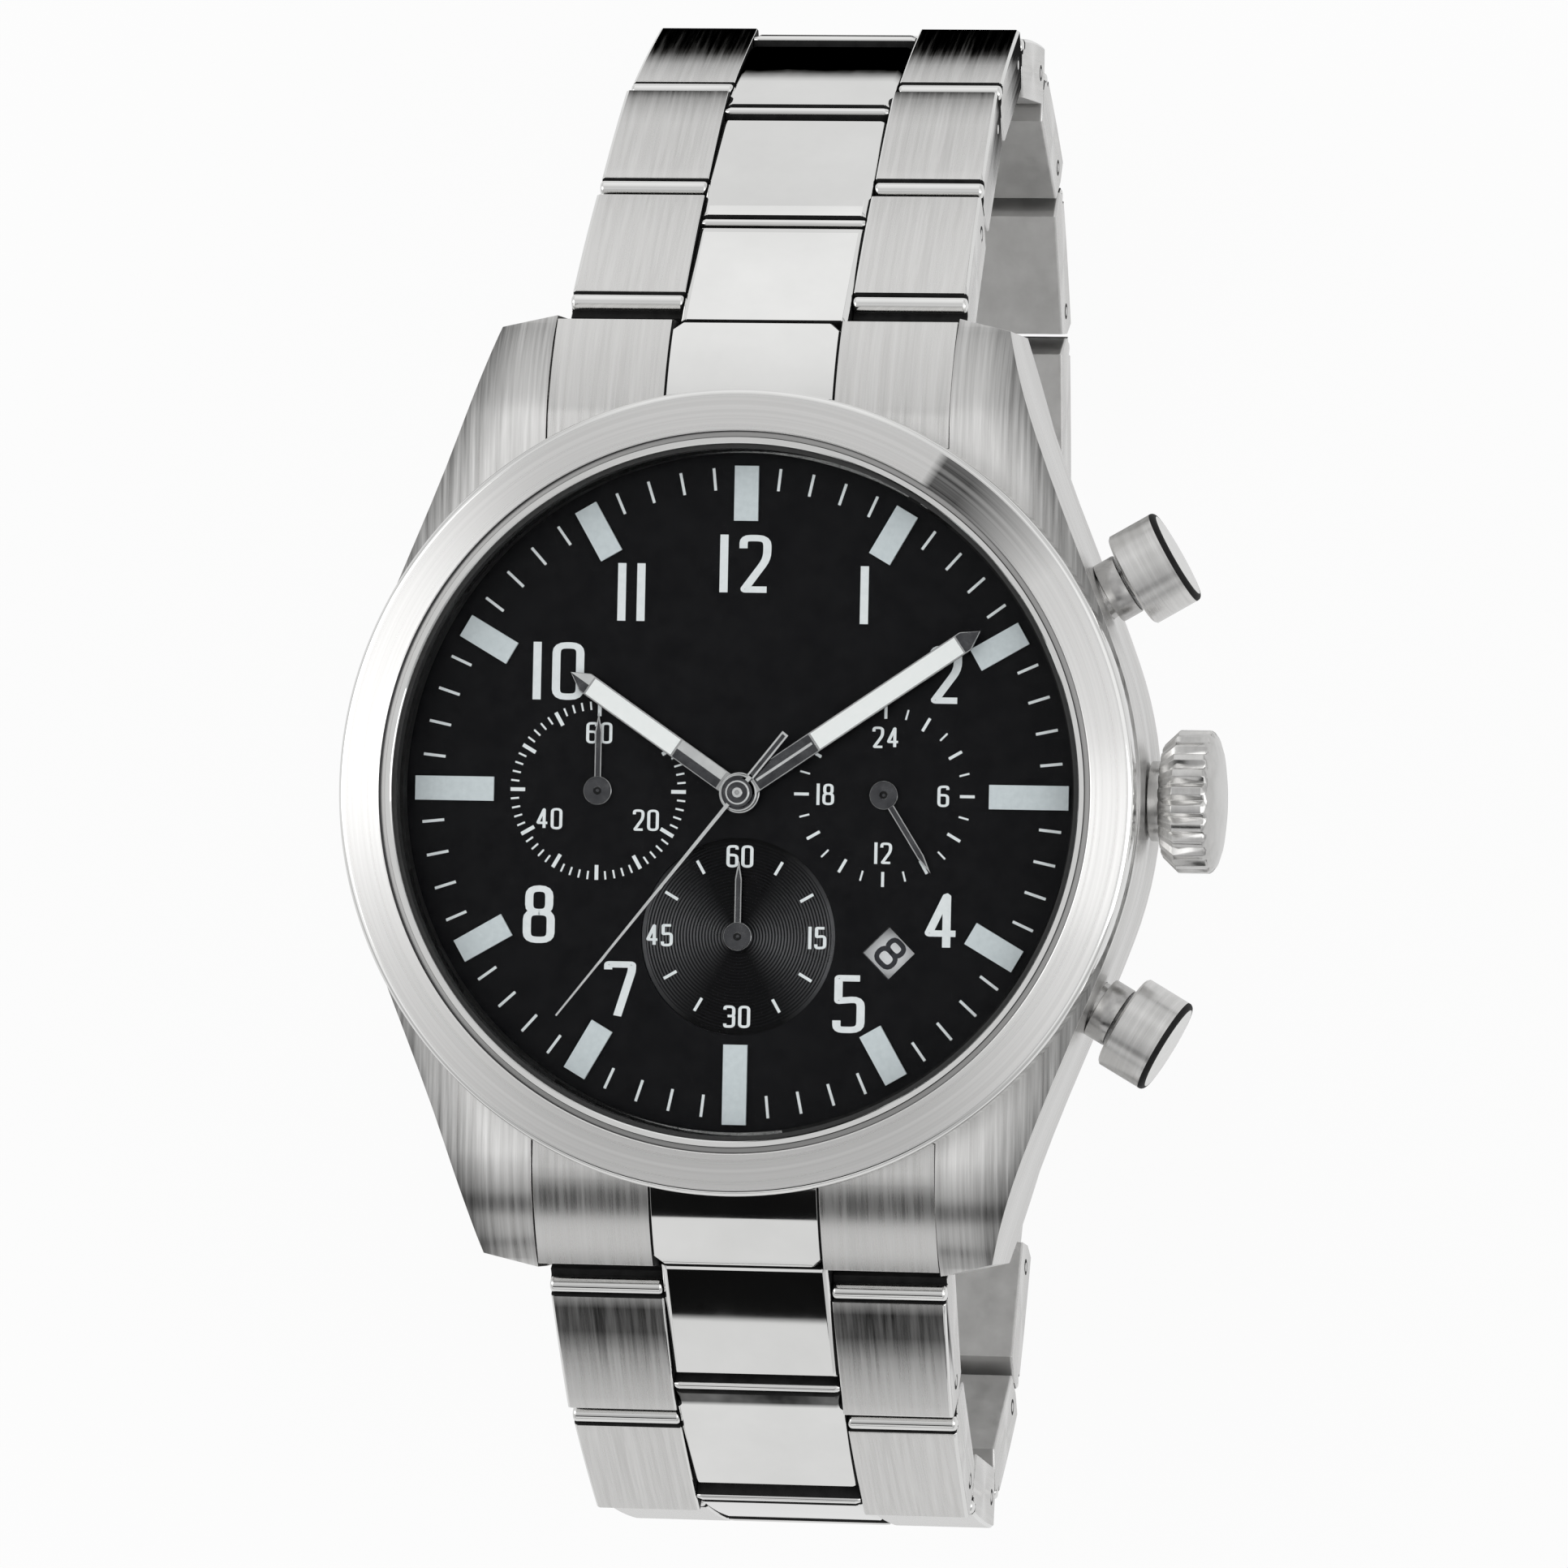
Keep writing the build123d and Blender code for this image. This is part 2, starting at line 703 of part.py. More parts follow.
def build_row(label, side, place, tilt, start_width, end_width, first=False, last=False):
    across = row_plane(side, place, tilt)
    above = Plane(origin=across.origin, x_dir=across.x_dir, z_dir=across.y_dir)
    inner = centre_half_width + side_gap
    near = pin_to_far_end + row_gap
    far = row_pitch + pin_to_far_end
    corner = 0.35
    with BuildPart() as row:
        # the two outer pieces: side view, then cut to their outline from above
        with BuildSketch(across):
            add(outer_outline())
            make_face()
        extrude(amount=start_width / 2 + 1, both=True)
        with BuildSketch(above.offset(-3)):
            Polygon(
                (near, inner + corner),
                (near + corner, inner),
                (far, inner),
                (far, end_width / 2),
                (near + corner, start_width / 2),
                (near, start_width / 2 - corner),
                align=None,
            )
            mirror(about=Plane.XZ)
        extrude(amount=6, mode=Mode.INTERSECT)
        # bore of the outbound pin
        with BuildSketch(across):
            with Locations((row_pitch, 0)):
                Circle(pin_radius + 0.02)
        extrude(amount=6.2 if last else start_width, both=True, mode=Mode.SUBTRACT)
        # the centre piece, on the inbound pin
        with BuildSketch(across):
            add(centre_outline(first))
            make_face()
            Circle(pin_bore, mode=Mode.SUBTRACT)
        extrude(amount=centre_half_width, both=True)
        # the long top edges are bevelled
        top_faces = row.faces().group_by(Axis(across.origin, across.y_dir))[-1]
        long_edges = top_faces.edges().filter_by(lambda edge: 0.75 < edge.length / row_pitch < 0.9)
        chamfer(long_edges, edge_bevel)
        # the outbound pin
        if not last:
            with BuildSketch(across):
                with Locations((row_pitch, 0)):
                    Circle(pin_radius)
            extrude(amount=end_width / 2 - 0.5, both=True)
    row.part.label = label
    finished.append(row)


chain_ends = {}
for name, side, tilts in (("12", 1, tilts_12), ("6", -1, tilts_6)):
    place = (side * hinge_y, hinge_z)
    for number, tilt in enumerate(tilts, start=1):
        is_last = name == "12" and number == len(tilts)
        build_row(
            f"row_{name}_{number}",
            side,
            place,
            tilt,
            widths[number - 1],
            widths[number],
            first=number == 1,
            last=is_last,
        )
        place = next_hinge(side, place, tilt)
    chain_ends[name] = place

# the pins between the end links and the first rows
with BuildPart() as end_link_pins:
    for side in (1, -1):
        with BuildSketch(Plane.YZ):
            with Locations((side * hinge_y, hinge_z)):
                Circle(pin_radius)
        extrude(amount=lug_gap / 2 - 0.6, both=True)
end_link_pins.part.label = "end_link_pins"
finished.append(end_link_pins)

# ---------------------------------------------------------------- fold-over clasp
# It spans the gap between the two chains as an arc. Its own axes: x from the 6 side's
# end to the 12 side's end, y out of the loop, with the origin at the middle of the chord.
start = Vector(0, *chain_ends["6"])
end = Vector(0, *chain_ends["12"])
chord = (end - start).length
clasp_radius = 75.0
arc_drop = sqrt(clasp_radius**2 - (chord / 2) ** 2)
clasp = Plane(origin=(start + end) / 2, x_dir=end - start, z_dir=(-1, 0, 0))
clasp_width = 18.6
cover_outer = clasp_radius + half_thickness
cover_inner = clasp_radius + 0.9
blade_outer = clasp_radius - 0.3
blade_inner = clasp_radius - 1.3
blade_pin_x = 18.4
fold_pin_x = -16.6
button_x = -9.0
pin_arc = clasp_radius - 0.8
eye_radius = 0.95
button_arc = clasp_radius + 0.1
latch_arc = clasp_radius + 0.3
button_cap_radius = 1.35
button_stem_radius = 0.5
button_seat_depth = 0.45
latch_top = clasp_radius + 0.75
bridge_start = 8.0
bridge_end = 12.0


def on_arc(x, radius):
    # the point of the arc of that radius that stands at x along the chord
    return (x, sqrt(radius**2 - x**2) - arc_drop)


def arc_band(x_from, x_to, inner_radius, outer_radius):
    # a band of constant thickness that follows the clasp's curve, cut square to it
    lean_from = x_from / clasp_radius
    lean_to = x_to / clasp_radius
    with BuildLine() as band:
        corners = []
        for lean, radius in (
            (lean_from, inner_radius),
            (lean_from, outer_radius),
            (lean_to, outer_radius),
            (lean_to, inner_radius),
        ):
            corners.append((radius * sin(lean), radius * cos(lean) - arc_drop))
        middle = (lean_from + lean_to) / 2
        Line(corners[0], corners[1])
        ThreePointArc(
            corners[1],
            (outer_radius * sin(middle), outer_radius * cos(middle) - arc_drop),
            corners[2],
        )
        Line(corners[2], corners[3])
        ThreePointArc(
            corners[3],
            (inner_radius * sin(middle), inner_radius * cos(middle) - arc_drop),
            corners[0],
        )
    return band


cover_start = -chord / 2 + pin_to_far_end + row_gap
cover_end = chord / 2 - pin_to_far_end - row_gap
wall_thickness = 1.1
with BuildPart() as clasp_cover:
    with BuildSketch(clasp):
        add(arc_band(cover_start, cover_end, clasp_radius - 1.9, cover_outer))
        make_face()
    extrude(amount=clasp_width / 2, both=True)
    with BuildSketch(clasp):
        add(arc_band(cover_start + 2.2, cover_end + 5, clasp_radius - 5, cover_inner))
        make_face()
    extrude(amount=clasp_width / 2 - wall_thickness, both=True, mode=Mode.SUBTRACT)
    # knuckle on the last row's pin
    with BuildSketch(clasp):
        add(arc_band(-chord / 2, cover_start + 0.1, clasp_radius - 1.0, clasp_radius + 1.0))
        make_face()
        with Locations((-chord / 2, 0)):
            Circle(pin_to_near_end)
            Circle(pin_bore, mode=Mode.SUBTRACT)
    extrude(amount=centre_half_width - 0.1, both=True)
    # bores of the blade pin and the two button stems
    with BuildSketch(clasp):
        with Locations(on_arc(blade_pin_x, pin_arc)):
            Circle(pin_radius + 0.07)
        with Locations(on_arc(button_x, latch_arc)):
            Circle(button_stem_radius + 0.06)
    extrude(amount=clasp_width, both=True, mode=Mode.SUBTRACT)
    # seats of the button caps, sunk into the side walls
    with BuildSketch(clasp.offset(clasp_width / 2 - button_seat_depth)):
        with Locations(on_arc(button_x, button_arc)):
            Circle(button_cap_radius + 0.1)
    extrude(amount=1, mode=Mode.SUBTRACT)
    with BuildSketch(clasp.offset(-clasp_width / 2 + button_seat_depth)):
        with Locations(on_arc(button_x, button_arc)):
            Circle(button_cap_radius + 0.1)
    extrude(amount=-1, mode=Mode.SUBTRACT)
clasp_cover.part.label = "clasp_cover"
finished.append(clasp_cover)

fork_outer = clasp_width / 2 - wall_thickness - 0.3
fork_inner = 4.95
with BuildPart() as clasp_fork_blade:
    with BuildSketch(clasp):
        add(arc_band(fold_pin_x, blade_pin_x, blade_inner, blade_outer))
        make_face()
        with Locations(
            on_arc(blade_pin_x, pin_arc), on_arc(fold_pin_x, pin_arc)
        ):
            Circle(eye_radius)
    extrude(amount=fork_outer, both=True)
    # open middle, where the inner blade lies
    with BuildSketch(clasp):
        with Locations((1, 1)):
            Rectangle(chord, 12)
    extrude(amount=fork_inner, both=True, mode=Mode.SUBTRACT)
    # bridge that joins the two arms over the inner blade, under the cover
    with BuildSketch(clasp):
        add(arc_band(bridge_start, bridge_end, blade_outer - 0.1, clasp_radius + 0.55))
        make_face()
    extrude(amount=fork_outer, both=True)
    with BuildSketch(clasp):
        add(arc_band(bridge_start - 1, bridge_end + 1, clasp_radius - 2, clasp_radius - 0.1))
        make_face()
    extrude(amount=fork_inner, both=True, mode=Mode.SUBTRACT)
    with BuildSketch(clasp):
        with Locations(
            on_arc(blade_pin_x, pin_arc), on_arc(fold_pin_x, pin_arc)
        ):
            Circle(pin_bore)
    extrude(amount=clasp_width, both=True, mode=Mode.SUBTRACT)
clasp_fork_blade.part.label = "clasp_fork_blade"
finished.append(clasp_fork_blade)

tongue_half_width = 4.25
with BuildPart() as clasp_inner_blade:
    with BuildSketch(clasp):
        add(arc_band(fold_pin_x, chord / 2 - 0.3, blade_inner, blade_outer))
        make_face()
        with Locations(on_arc(fold_pin_x, pin_arc)):
            Circle(eye_radius)
        with Locations((chord / 2, 0)):
            Circle(pin_to_near_end)
    extrude(amount=tongue_half_width, both=True)
    # catch post that the two button latches hold
    with BuildSketch(clasp):
        add(arc_band(button_x - 0.6, button_x + 0.6, blade_outer - 0.2, latch_top))
        make_face()
    extrude(amount=0.6, both=True)
    with BuildSketch(clasp):
        with Locations(on_arc(fold_pin_x, pin_arc)):
            Circle(pin_bore)
        with Locations((chord / 2, 0)):
            Circle(pin_bore)
    extrude(amount=clasp_width, both=True, mode=Mode.SUBTRACT)
clasp_inner_blade.part.label = "clasp_inner_blade"
finished.append(clasp_inner_blade)

# the cover's pin is in two halves, one for each arm of the fork
pin_list = (
    ("clasp_cover_pins", on_arc(blade_pin_x, pin_arc), clasp_width / 2 - 0.3, fork_inner),
    ("clasp_fold_pin", on_arc(fold_pin_x, pin_arc), fork_outer - 0.2, 0),
    ("clasp_spring_bar", (chord / 2, 0), tongue_half_width - 0.1, 0),
)
for label, place, half_length, half_gap in pin_list:
    with BuildPart() as clasp_pin:
        with BuildSketch(clasp):
            with Locations(place):
                Circle(pin_radius)
        extrude(amount=half_length, both=True)
        if half_gap:
            with BuildSketch(clasp):
                with Locations(place):
                    Circle(1)
            extrude(amount=half_gap, both=True, mode=Mode.SUBTRACT)
    clasp_pin.part.label = label
    finished.append(clasp_pin)

# push buttons: cap outside, stem through the wall, latch bar inside under the cover
for label, side in (("clasp_button_right", -1), ("clasp_button_left", 1)):
    cap_seat = side * (clasp_width / 2 - button_seat_depth)
    latch_wall = side * (clasp_width / 2 - wall_thickness - 0.95)
    with BuildPart() as clasp_button:
        with BuildSketch(clasp.offset(cap_seat + side * 0.75)):
            with Locations(on_arc(button_x, button_arc)):
                Circle(button_cap_radius)
        extrude(amount=side * 0.65)
        with BuildSketch(clasp.offset(latch_wall)):
            with Locations(on_arc(button_x, latch_arc)):
                Circle(button_stem_radius)
        extrude(amount=cap_seat + side * 0.75 - latch_wall)
        with BuildSketch(clasp.offset(side * 1.5)):
            add(arc_band(button_x - 1.3, button_x + 1.3, clasp_radius - 0.1, latch_top))
            make_face()
        extrude(amount=latch_wall - side * 1.5)
        # notch round the catch post
        with BuildSketch(clasp.offset(side * 1.5)):
            with Locations(on_arc(button_x, clasp_radius + 0.25)):
                Rectangle(1.5, 2)
        extrude(amount=side * 1.2, mode=Mode.SUBTRACT)
    clasp_button.part.label = label
    finished.append(clasp_button)

for piece in finished:
    export_step(piece.part, f"parts/{piece.part.label}.step")
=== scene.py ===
import json
from math import atan2, cos, pi, radians, sin, sqrt

import bmesh
import bpy
from mathutils import Matrix, Vector


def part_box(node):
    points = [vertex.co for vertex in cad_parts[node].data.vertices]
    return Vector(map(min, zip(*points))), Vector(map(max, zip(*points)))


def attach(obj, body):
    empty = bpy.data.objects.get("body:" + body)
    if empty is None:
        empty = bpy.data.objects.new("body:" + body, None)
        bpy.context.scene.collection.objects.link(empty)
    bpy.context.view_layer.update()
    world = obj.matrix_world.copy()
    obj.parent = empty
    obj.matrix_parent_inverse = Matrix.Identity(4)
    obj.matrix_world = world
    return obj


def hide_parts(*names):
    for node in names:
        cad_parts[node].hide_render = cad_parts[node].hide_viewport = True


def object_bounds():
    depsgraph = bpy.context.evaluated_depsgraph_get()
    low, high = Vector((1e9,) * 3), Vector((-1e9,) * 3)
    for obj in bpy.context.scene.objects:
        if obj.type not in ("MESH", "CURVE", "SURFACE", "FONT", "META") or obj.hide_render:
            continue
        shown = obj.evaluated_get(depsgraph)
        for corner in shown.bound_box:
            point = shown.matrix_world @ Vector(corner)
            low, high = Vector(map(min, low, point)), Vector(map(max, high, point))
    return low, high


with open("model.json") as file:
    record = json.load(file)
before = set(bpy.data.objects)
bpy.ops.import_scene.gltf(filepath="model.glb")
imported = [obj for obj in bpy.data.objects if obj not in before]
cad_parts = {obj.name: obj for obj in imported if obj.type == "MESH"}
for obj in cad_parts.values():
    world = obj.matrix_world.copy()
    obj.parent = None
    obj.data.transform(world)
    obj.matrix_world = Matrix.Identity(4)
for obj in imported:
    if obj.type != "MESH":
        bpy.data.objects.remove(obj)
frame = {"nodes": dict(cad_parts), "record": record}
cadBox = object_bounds()
mm = 0.001
scene = bpy.context.scene
scene.view_settings.view_transform = "Standard"
print("frame loaded")

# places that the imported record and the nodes' boxes give
hinges = {joint["name"]: joint for joint in frame["record"]["behaviour"]["joints"]}


def hingePlace(name):
    place = hinges[name]["pos_m"]
    return Vector((0, place[1], place[2]))


def middleOf(node):
    low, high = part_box(node)
    return (Vector(low) + Vector(high)) / 2


def shifted(x, y, z=0.0):
    # a move given in millimetres
    return Matrix.Translation(Vector((x * mm, y * mm, z * mm)))


def axesTo(*directions):
    # turns x, y and z to these directions
    return Matrix(directions).transposed().to_4x4()


# the studio; angles are in degrees
cameraValues = {
    "distance": 611.34 * mm,
    "yaw": 10.13,
    "elevation": -1.15,
    "roll": 1.16,
    "aim": (0, 0, 8.5 * mm),
    "aimRight": 2.31 * mm,
    "aimUp": 0.48 * mm,
    "lens": 261.77,
    "sensor": 36,
    "clip": (0.01, 20),
}


def addCamera(values):
    yaw = radians(values["yaw"])
    rise = radians(values["elevation"])
    roll = radians(values["roll"])
    away = Vector((sin(yaw) * cos(rise), sin(rise), cos(yaw) * cos(rise)))
    right = Vector((0, 1, 0)).cross(away).normalized()
    up = away.cross(right)
    tiltedRight = right * cos(roll) + up * sin(roll)
    tiltedUp = up * cos(roll) - right * sin(roll)
    target = Vector(values["aim"]) + tiltedRight * values["aimRight"] + tiltedUp * values["aimUp"]
    camera = bpy.data.objects.new("camera", bpy.data.cameras.new("camera"))
    scene.collection.objects.link(camera)
    place = Matrix.Translation(target + away * values["distance"])
    camera.matrix_world = place @ axesTo(tiltedRight, tiltedUp, away)
    camera.data.lens = values["lens"]
    camera.data.sensor_width = values["sensor"]
    camera.data.clip_start, camera.data.clip_end = values["clip"]
    scene.camera = camera


addCamera(cameraValues)

# the surroundings as strips of light and shade, by the angle from straight above towards 12 o'clock
studioValues = {
    "strips": (
        (-180, 0.70), (-100, 0.74), (-60, 0.76), (-44, 0.76), (-36, 0.42), (-20, 0.48), (0, 0.68),
        (24, 0.62), (42, 0.80), (60, 0.88), (76, 0.92), (90, 0.92), (98, 0.80), (112, 0.45),
        (180, 0.70),
    ),
    "sides": ((0.0, 0.0), (0.26, 0.0), (0.48, 1.0), (1.0, 1.0)),
    "sideStrips": (
        (-180, 0.66), (-84, 0.62), (-75, 0.55), (-71, 0.40), (-65, 0.40), (-60, 0.52), (-54, 0.60),
        (-46, 0.45), (-36, 0.62), (-18, 0.98), (30, 0.98), (46, 0.72), (56, 0.62), (70, 0.72),
        (80, 0.66), (92, 0.30), (110, 0.25), (180, 0.60),
    ),
    # black bands with sharp edges, from angle to angle
    "bands": ((-73.4, -68.5), (-46.7, -33)),
    "bandEdge": 0.12,
    # the side light counts from a little left of straight up
    "shift": 0.12,
    "strength": 1.0,
}


def setSockets(tree, node, sockets):
    # each socket is linked to another node's output or set to a value
    for socket, value in sockets.items():
        if isinstance(value, bpy.types.NodeSocket):
            tree.links.new(value, node.inputs[socket])
        else:
            node.inputs[socket].default_value = value


def addNode(tree, kind, sockets=None, **settings):
    node = tree.nodes.new("ShaderNode" + kind)
    for setting, value in settings.items():
        setattr(node, setting, value)
    setSockets(tree, node, sockets or {})
    return node


def addMath(tree, operation, *values):
    return addNode(tree, "Math", dict(enumerate(values)), operation=operation).outputs[0]


def remapped(tree, value, start, end, low=0.0, high=1.0):
    # low up to start, high from end on, and evenly between them
    sockets = {"Value": value, "From Min": start, "From Max": end, "To Min": low, "To Max": high}
    return addNode(tree, "MapRange", sockets).outputs[0]


def mixedColours(tree, part, first, second):
    sockets = {"Factor": part, 6: first, 7: second}
    return addNode(tree, "Mix", sockets, data_type="RGBA").outputs[2]


nearlyBlack = (0.005, 0.005, 0.005, 1)


def darkened(tree, colour, part):
    # part 0 keeps the colour, part 1 makes it nearly black
    return mixedColours(tree, part, colour, nearlyBlack)


def mixedShaders(tree, part, first, second):
    return addNode(tree, "MixShader", {0: part, 1: first, 2: second}).outputs[0]


def ramped(tree, value, stops):
    # grey levels by the value; places are all set before the levels, since a ramp sorts its stops
    node = addNode(tree, "ValToRGB", {0: value})
    ramp = node.color_ramp
    while len(ramp.elements) < len(stops):
        ramp.elements.new(0.5)
    for element, (place, level) in zip(ramp.elements, stops):
        element.position = place
    for element, (place, level) in zip(ramp.elements, stops):
        element.color = (level, level, level, 1)
    return node.outputs[0]


def byTurn(stops):
    # stops by angle, from -180 to 180 degrees, as stops from 0 to 1
    return [((angle + 180) / 360, level) for angle, level in stops]


def splitPlace(tree, output):
    # x, y and z of one of the piece's own coordinates
    coords = addNode(tree, "TexCoord")
    return addNode(tree, "SeparateXYZ", {0: coords.outputs[output]}).outputs


def meshObject(name, bm):
    mesh = bpy.data.meshes.new(name)
    bm.to_mesh(mesh)
    bm.free()
    made = bpy.data.objects.new(name, mesh)
    scene.collection.objects.link(made)
    return made


def addWorld(values):
    world = bpy.data.worlds.new("studio")
    world.use_nodes = True
    scene.world = world
    tree = world.node_tree
    tree.nodes.clear()
    way = splitPlace(tree, "Generated")
    angle = addMath(tree, "ARCTAN2", way["Y"], way["Z"])
    share = remapped(tree, angle, -pi, pi)
    strips = ramped(tree, share, byTurn(values["strips"]))
    soft = radians(values["bandEdge"])
    for low, high in values["bands"]:
        past = remapped(tree, angle, radians(low) - soft, radians(low) + soft)
        before = remapped(tree, angle, radians(high) + soft, radians(high) - soft)
        strips = darkened(tree, strips, addMath(tree, "MULTIPLY", past, before))
    # how far to the side a direction points decides between the strips and the side light
    width = addMath(tree, "ABSOLUTE", addMath(tree, "ADD", way["X"], values["shift"]))
    sides = ramped(tree, width, values["sides"])
    sideStrips = ramped(tree, share, byTurn(values["sideStrips"]))
    colour = mixedColours(tree, sides, strips, sideStrips)
    light = addNode(tree, "Background", {"Color": colour, "Strength": values["strength"]})
    white = addNode(tree, "Background", {"Color": (1, 1, 1, 1)})
    seen = addNode(tree, "LightPath").outputs["Is Camera Ray"]
    addNode(tree, "OutputWorld", {0: mixedShaders(tree, seen, light.outputs[0], white.outputs[0])})


addWorld(studioValues)


def emptyMaterial(name):
    material = bpy.data.materials.new(name)
    material.use_nodes = True
    material.node_tree.nodes.clear()
    return material, material.node_tree


# keptWhite is the share of its own shine that the camera sees; mirrored is how bright the steel sees it
floorValues = {"halfSize": 1.5, "below": 0.02 * mm, "white": 0.86, "keptWhite": 0.92, "mirrored": 0.78}


def addFloor(values):
    bm = bmesh.new()
    bmesh.ops.create_grid(bm, x_segments=1, y_segments=1, size=values["halfSize"])
    bmesh.ops.translate(bm, verts=bm.verts, vec=(0, 0, cadBox[0][2] - values["below"]))
    floor = meshObject("floor", bm)
    material, tree = emptyMaterial("paleFloor")
    matt = addNode(tree, "BsdfDiffuse", {"Color": (values["white"], values["white"], values["white"], 1)})
    path = addNode(tree, "LightPath").outputs
    seen = addMath(tree, "MAXIMUM", path["Is Camera Ray"], path["Is Glossy Ray"])
    seen = addMath(tree, "MAXIMUM", seen, path["Is Transmission Ray"])
    part = addMath(tree, "MULTIPLY", seen, values["keptWhite"])
    strength = addMath(tree, "MULTIPLY_ADD", path["Is Glossy Ray"], values["mirrored"] - 1, 1.0)
    glow = addNode(tree, "Emission", {"Strength": strength})
    addNode(tree, "OutputMaterial", {0: mixedShaders(tree, part, matt.outputs[0], glow.outputs[0])})
    floor.data.materials.append(material)


addFloor(floorValues)

lampValues = {
    "leftSoftbox": {"place": (-0.75, 0.15, 0.62), "size": (0.5, 0.9), "power": 1.25},
    "rightSoftbox": {"place": (0.80, -0.10, 0.55), "size": (0.4, 0.9), "power": 1.55},
}


def addLamp(name, values):
    lamp = bpy.data.lights.new(name, "AREA")
    lamp.shape = "RECTANGLE"
    lamp.size, lamp.size_y = values["size"]
    lamp.energy = values["power"]
    made = bpy.data.objects.new(name, lamp)
    scene.collection.objects.link(made)
    made.location = values["place"]
    # it faces the watch
    made.rotation_euler = (-Vector(values["place"])).to_track_quat("-Z", "Y").to_euler()


for name, values in lampValues.items():
    addLamp(name, values)
print("studio ready")


# finishes
def startMaterial(name):
    material, tree = emptyMaterial(name)
    shader = addNode(tree, "BsdfPrincipled")
    addNode(tree, "OutputMaterial", {0: shader.outputs[0]})
    return material, tree, shader


def noiseOf(tree, vector, detail=4, roughness=0.62):
    sockets = {"Vector": vector, "Scale": 1, "Detail": detail, "Roughness": roughness}
    return addNode(tree, "TexNoise", sockets).outputs["Fac"]


def ownValue(tree, name):
    # what a piece's mesh keeps under that name
    return addNode(tree, "Attribute", attribute_name=name).outputs


def streaks(tree, scales, detail=4, local=False):
    # noise drawn out along the brushing, from object coordinates or a piece's own local ones
    if local:
        place = ownValue(tree, "local")["Vector"]
    else:
        place = addNode(tree, "TexCoord").outputs["Object"]
    mapping = addNode(tree, "Mapping", {"Vector": place, "Scale": scales})
    return noiseOf(tree, mapping.outputs[0], detail)


def evenGrain(scale):
    return lambda tree: streaks(tree, (scale, scale, scale))


def caseBrush(tree, fine, slow):
    # lines along the case: across it they follow x on top and z on the flanks
    place, facing = splitPlace(tree, "Object"), splitPlace(tree, "Normal")
    flank = addMath(tree, "GREATER_THAN", addMath(tree, "ABSOLUTE", facing["X"]), 0.75)
    over = addMath(tree, "MULTIPLY", place["Z"], flank)
    top = addMath(tree, "SUBTRACT", 1.0, flank)
    across = addMath(tree, "MULTIPLY_ADD", place["X"], top, over)
    sockets = {
        "X": addMath(tree, "MULTIPLY", across, fine),
        "Y": addMath(tree, "MULTIPLY", place["Y"], slow),
    }
    return noiseOf(tree, addNode(tree, "CombineXYZ", sockets).outputs[0], 5)


def rings(tree, fine, coarse):
    # noise drawn out round the z axis: the distance from it counts, the place round it hardly does
    place = addNode(tree, "TexCoord").outputs["Object"]
    flat = addNode(tree, "VectorMath", {0: place, 1: (1, 1, 0)}, operation="MULTIPLY")
    distance = addNode(tree, "VectorMath", {0: flat.outputs["Vector"]}, operation="LENGTH")
    slow = addNode(tree, "VectorMath", {0: place, "Scale": coarse}, operation="SCALE")
    spread = addNode(tree, "CombineXYZ", {"X": addMath(tree, "MULTIPLY", distance.outputs["Value"], fine)})
    sockets = {0: slow.outputs["Vector"], 1: spread.outputs[0]}
    together = addNode(tree, "VectorMath", sockets, operation="ADD").outputs["Vector"]
    return noiseOf(tree, together, 4, 0.5)


def toRange(tree, value, low, high):
    # noise keeps to the middle of its range, so that is drawn out to low and high
    return remapped(tree, value, 0.25, 0.75, low, high)


def twoTones(tree, value, tones):
    node = addNode(tree, "ValToRGB", {0: value})
    for element, place, tone in zip(node.color_ramp.elements, (0.3, 0.7), tones):
        element.position = place
        element.color = (*tone, 1)
    return node.outputs[0]


def addBump(tree, shader, value, strength, depth):
    bump = addNode(tree, "Bump", {"Height": value, "Strength": strength, "Distance": depth})
    tree.links.new(bump.outputs[0], shader.inputs["Normal"])


# painted shade and reflections on the steel, with places in millimetres and angles in degrees
sunkCentre = (0.0, -7.7)
paintedShadeValues = {
    "lug": {
        "slope": 0.39,
        "edge": (20.8, 24.0),
        "tip": (20.5, 26.0),
        "tipShare": 0.6,
        "flat": (0.6, 0.78),
        "streaks": (1.2, 0.55),
        "share": 0.92,
    },
    "bezel": {"start": (30.6, 32.2), "end": (37, 55), "streaks": (1.1, 0.62), "share": 0.93},
    "sunkDial": {"turn": (18, 62), "share": 0.92},
    "link": {"streaks": (1.12, 0.8), "share": 0.97},
}


def streakedPart(tree, part, grain, values):
    # the grain shows in the painted shade too
    uneven = addMath(tree, "MULTIPLY", part, toRange(tree, grain, *values["streaks"]))
    return addMath(tree, "MULTIPLY", uneven, values["share"])


def lugShade(tree, grain):
    # painted shade: the lugs' tops darken towards their outer edges and tips, in streaks
    values = paintedShadeValues["lug"]
    place, facing = splitPlace(tree, "Object"), splitPlace(tree, "Normal")
    across = addMath(tree, "ABSOLUTE", place["X"])
    along = addMath(tree, "ABSOLUTE", place["Y"])
    reach = addMath(tree, "MULTIPLY_ADD", along, values["slope"], across)
    edge = remapped(tree, reach, *[spot * mm for spot in values["edge"]])
    tip = remapped(tree, along, *[spot * mm for spot in values["tip"]])
    part = addMath(tree, "MAXIMUM", edge, addMath(tree, "MULTIPLY", tip, values["tipShare"]))
    part = addMath(tree, "MULTIPLY", part, remapped(tree, facing["Z"], *values["flat"]))
    return streakedPart(tree, part, grain, values)


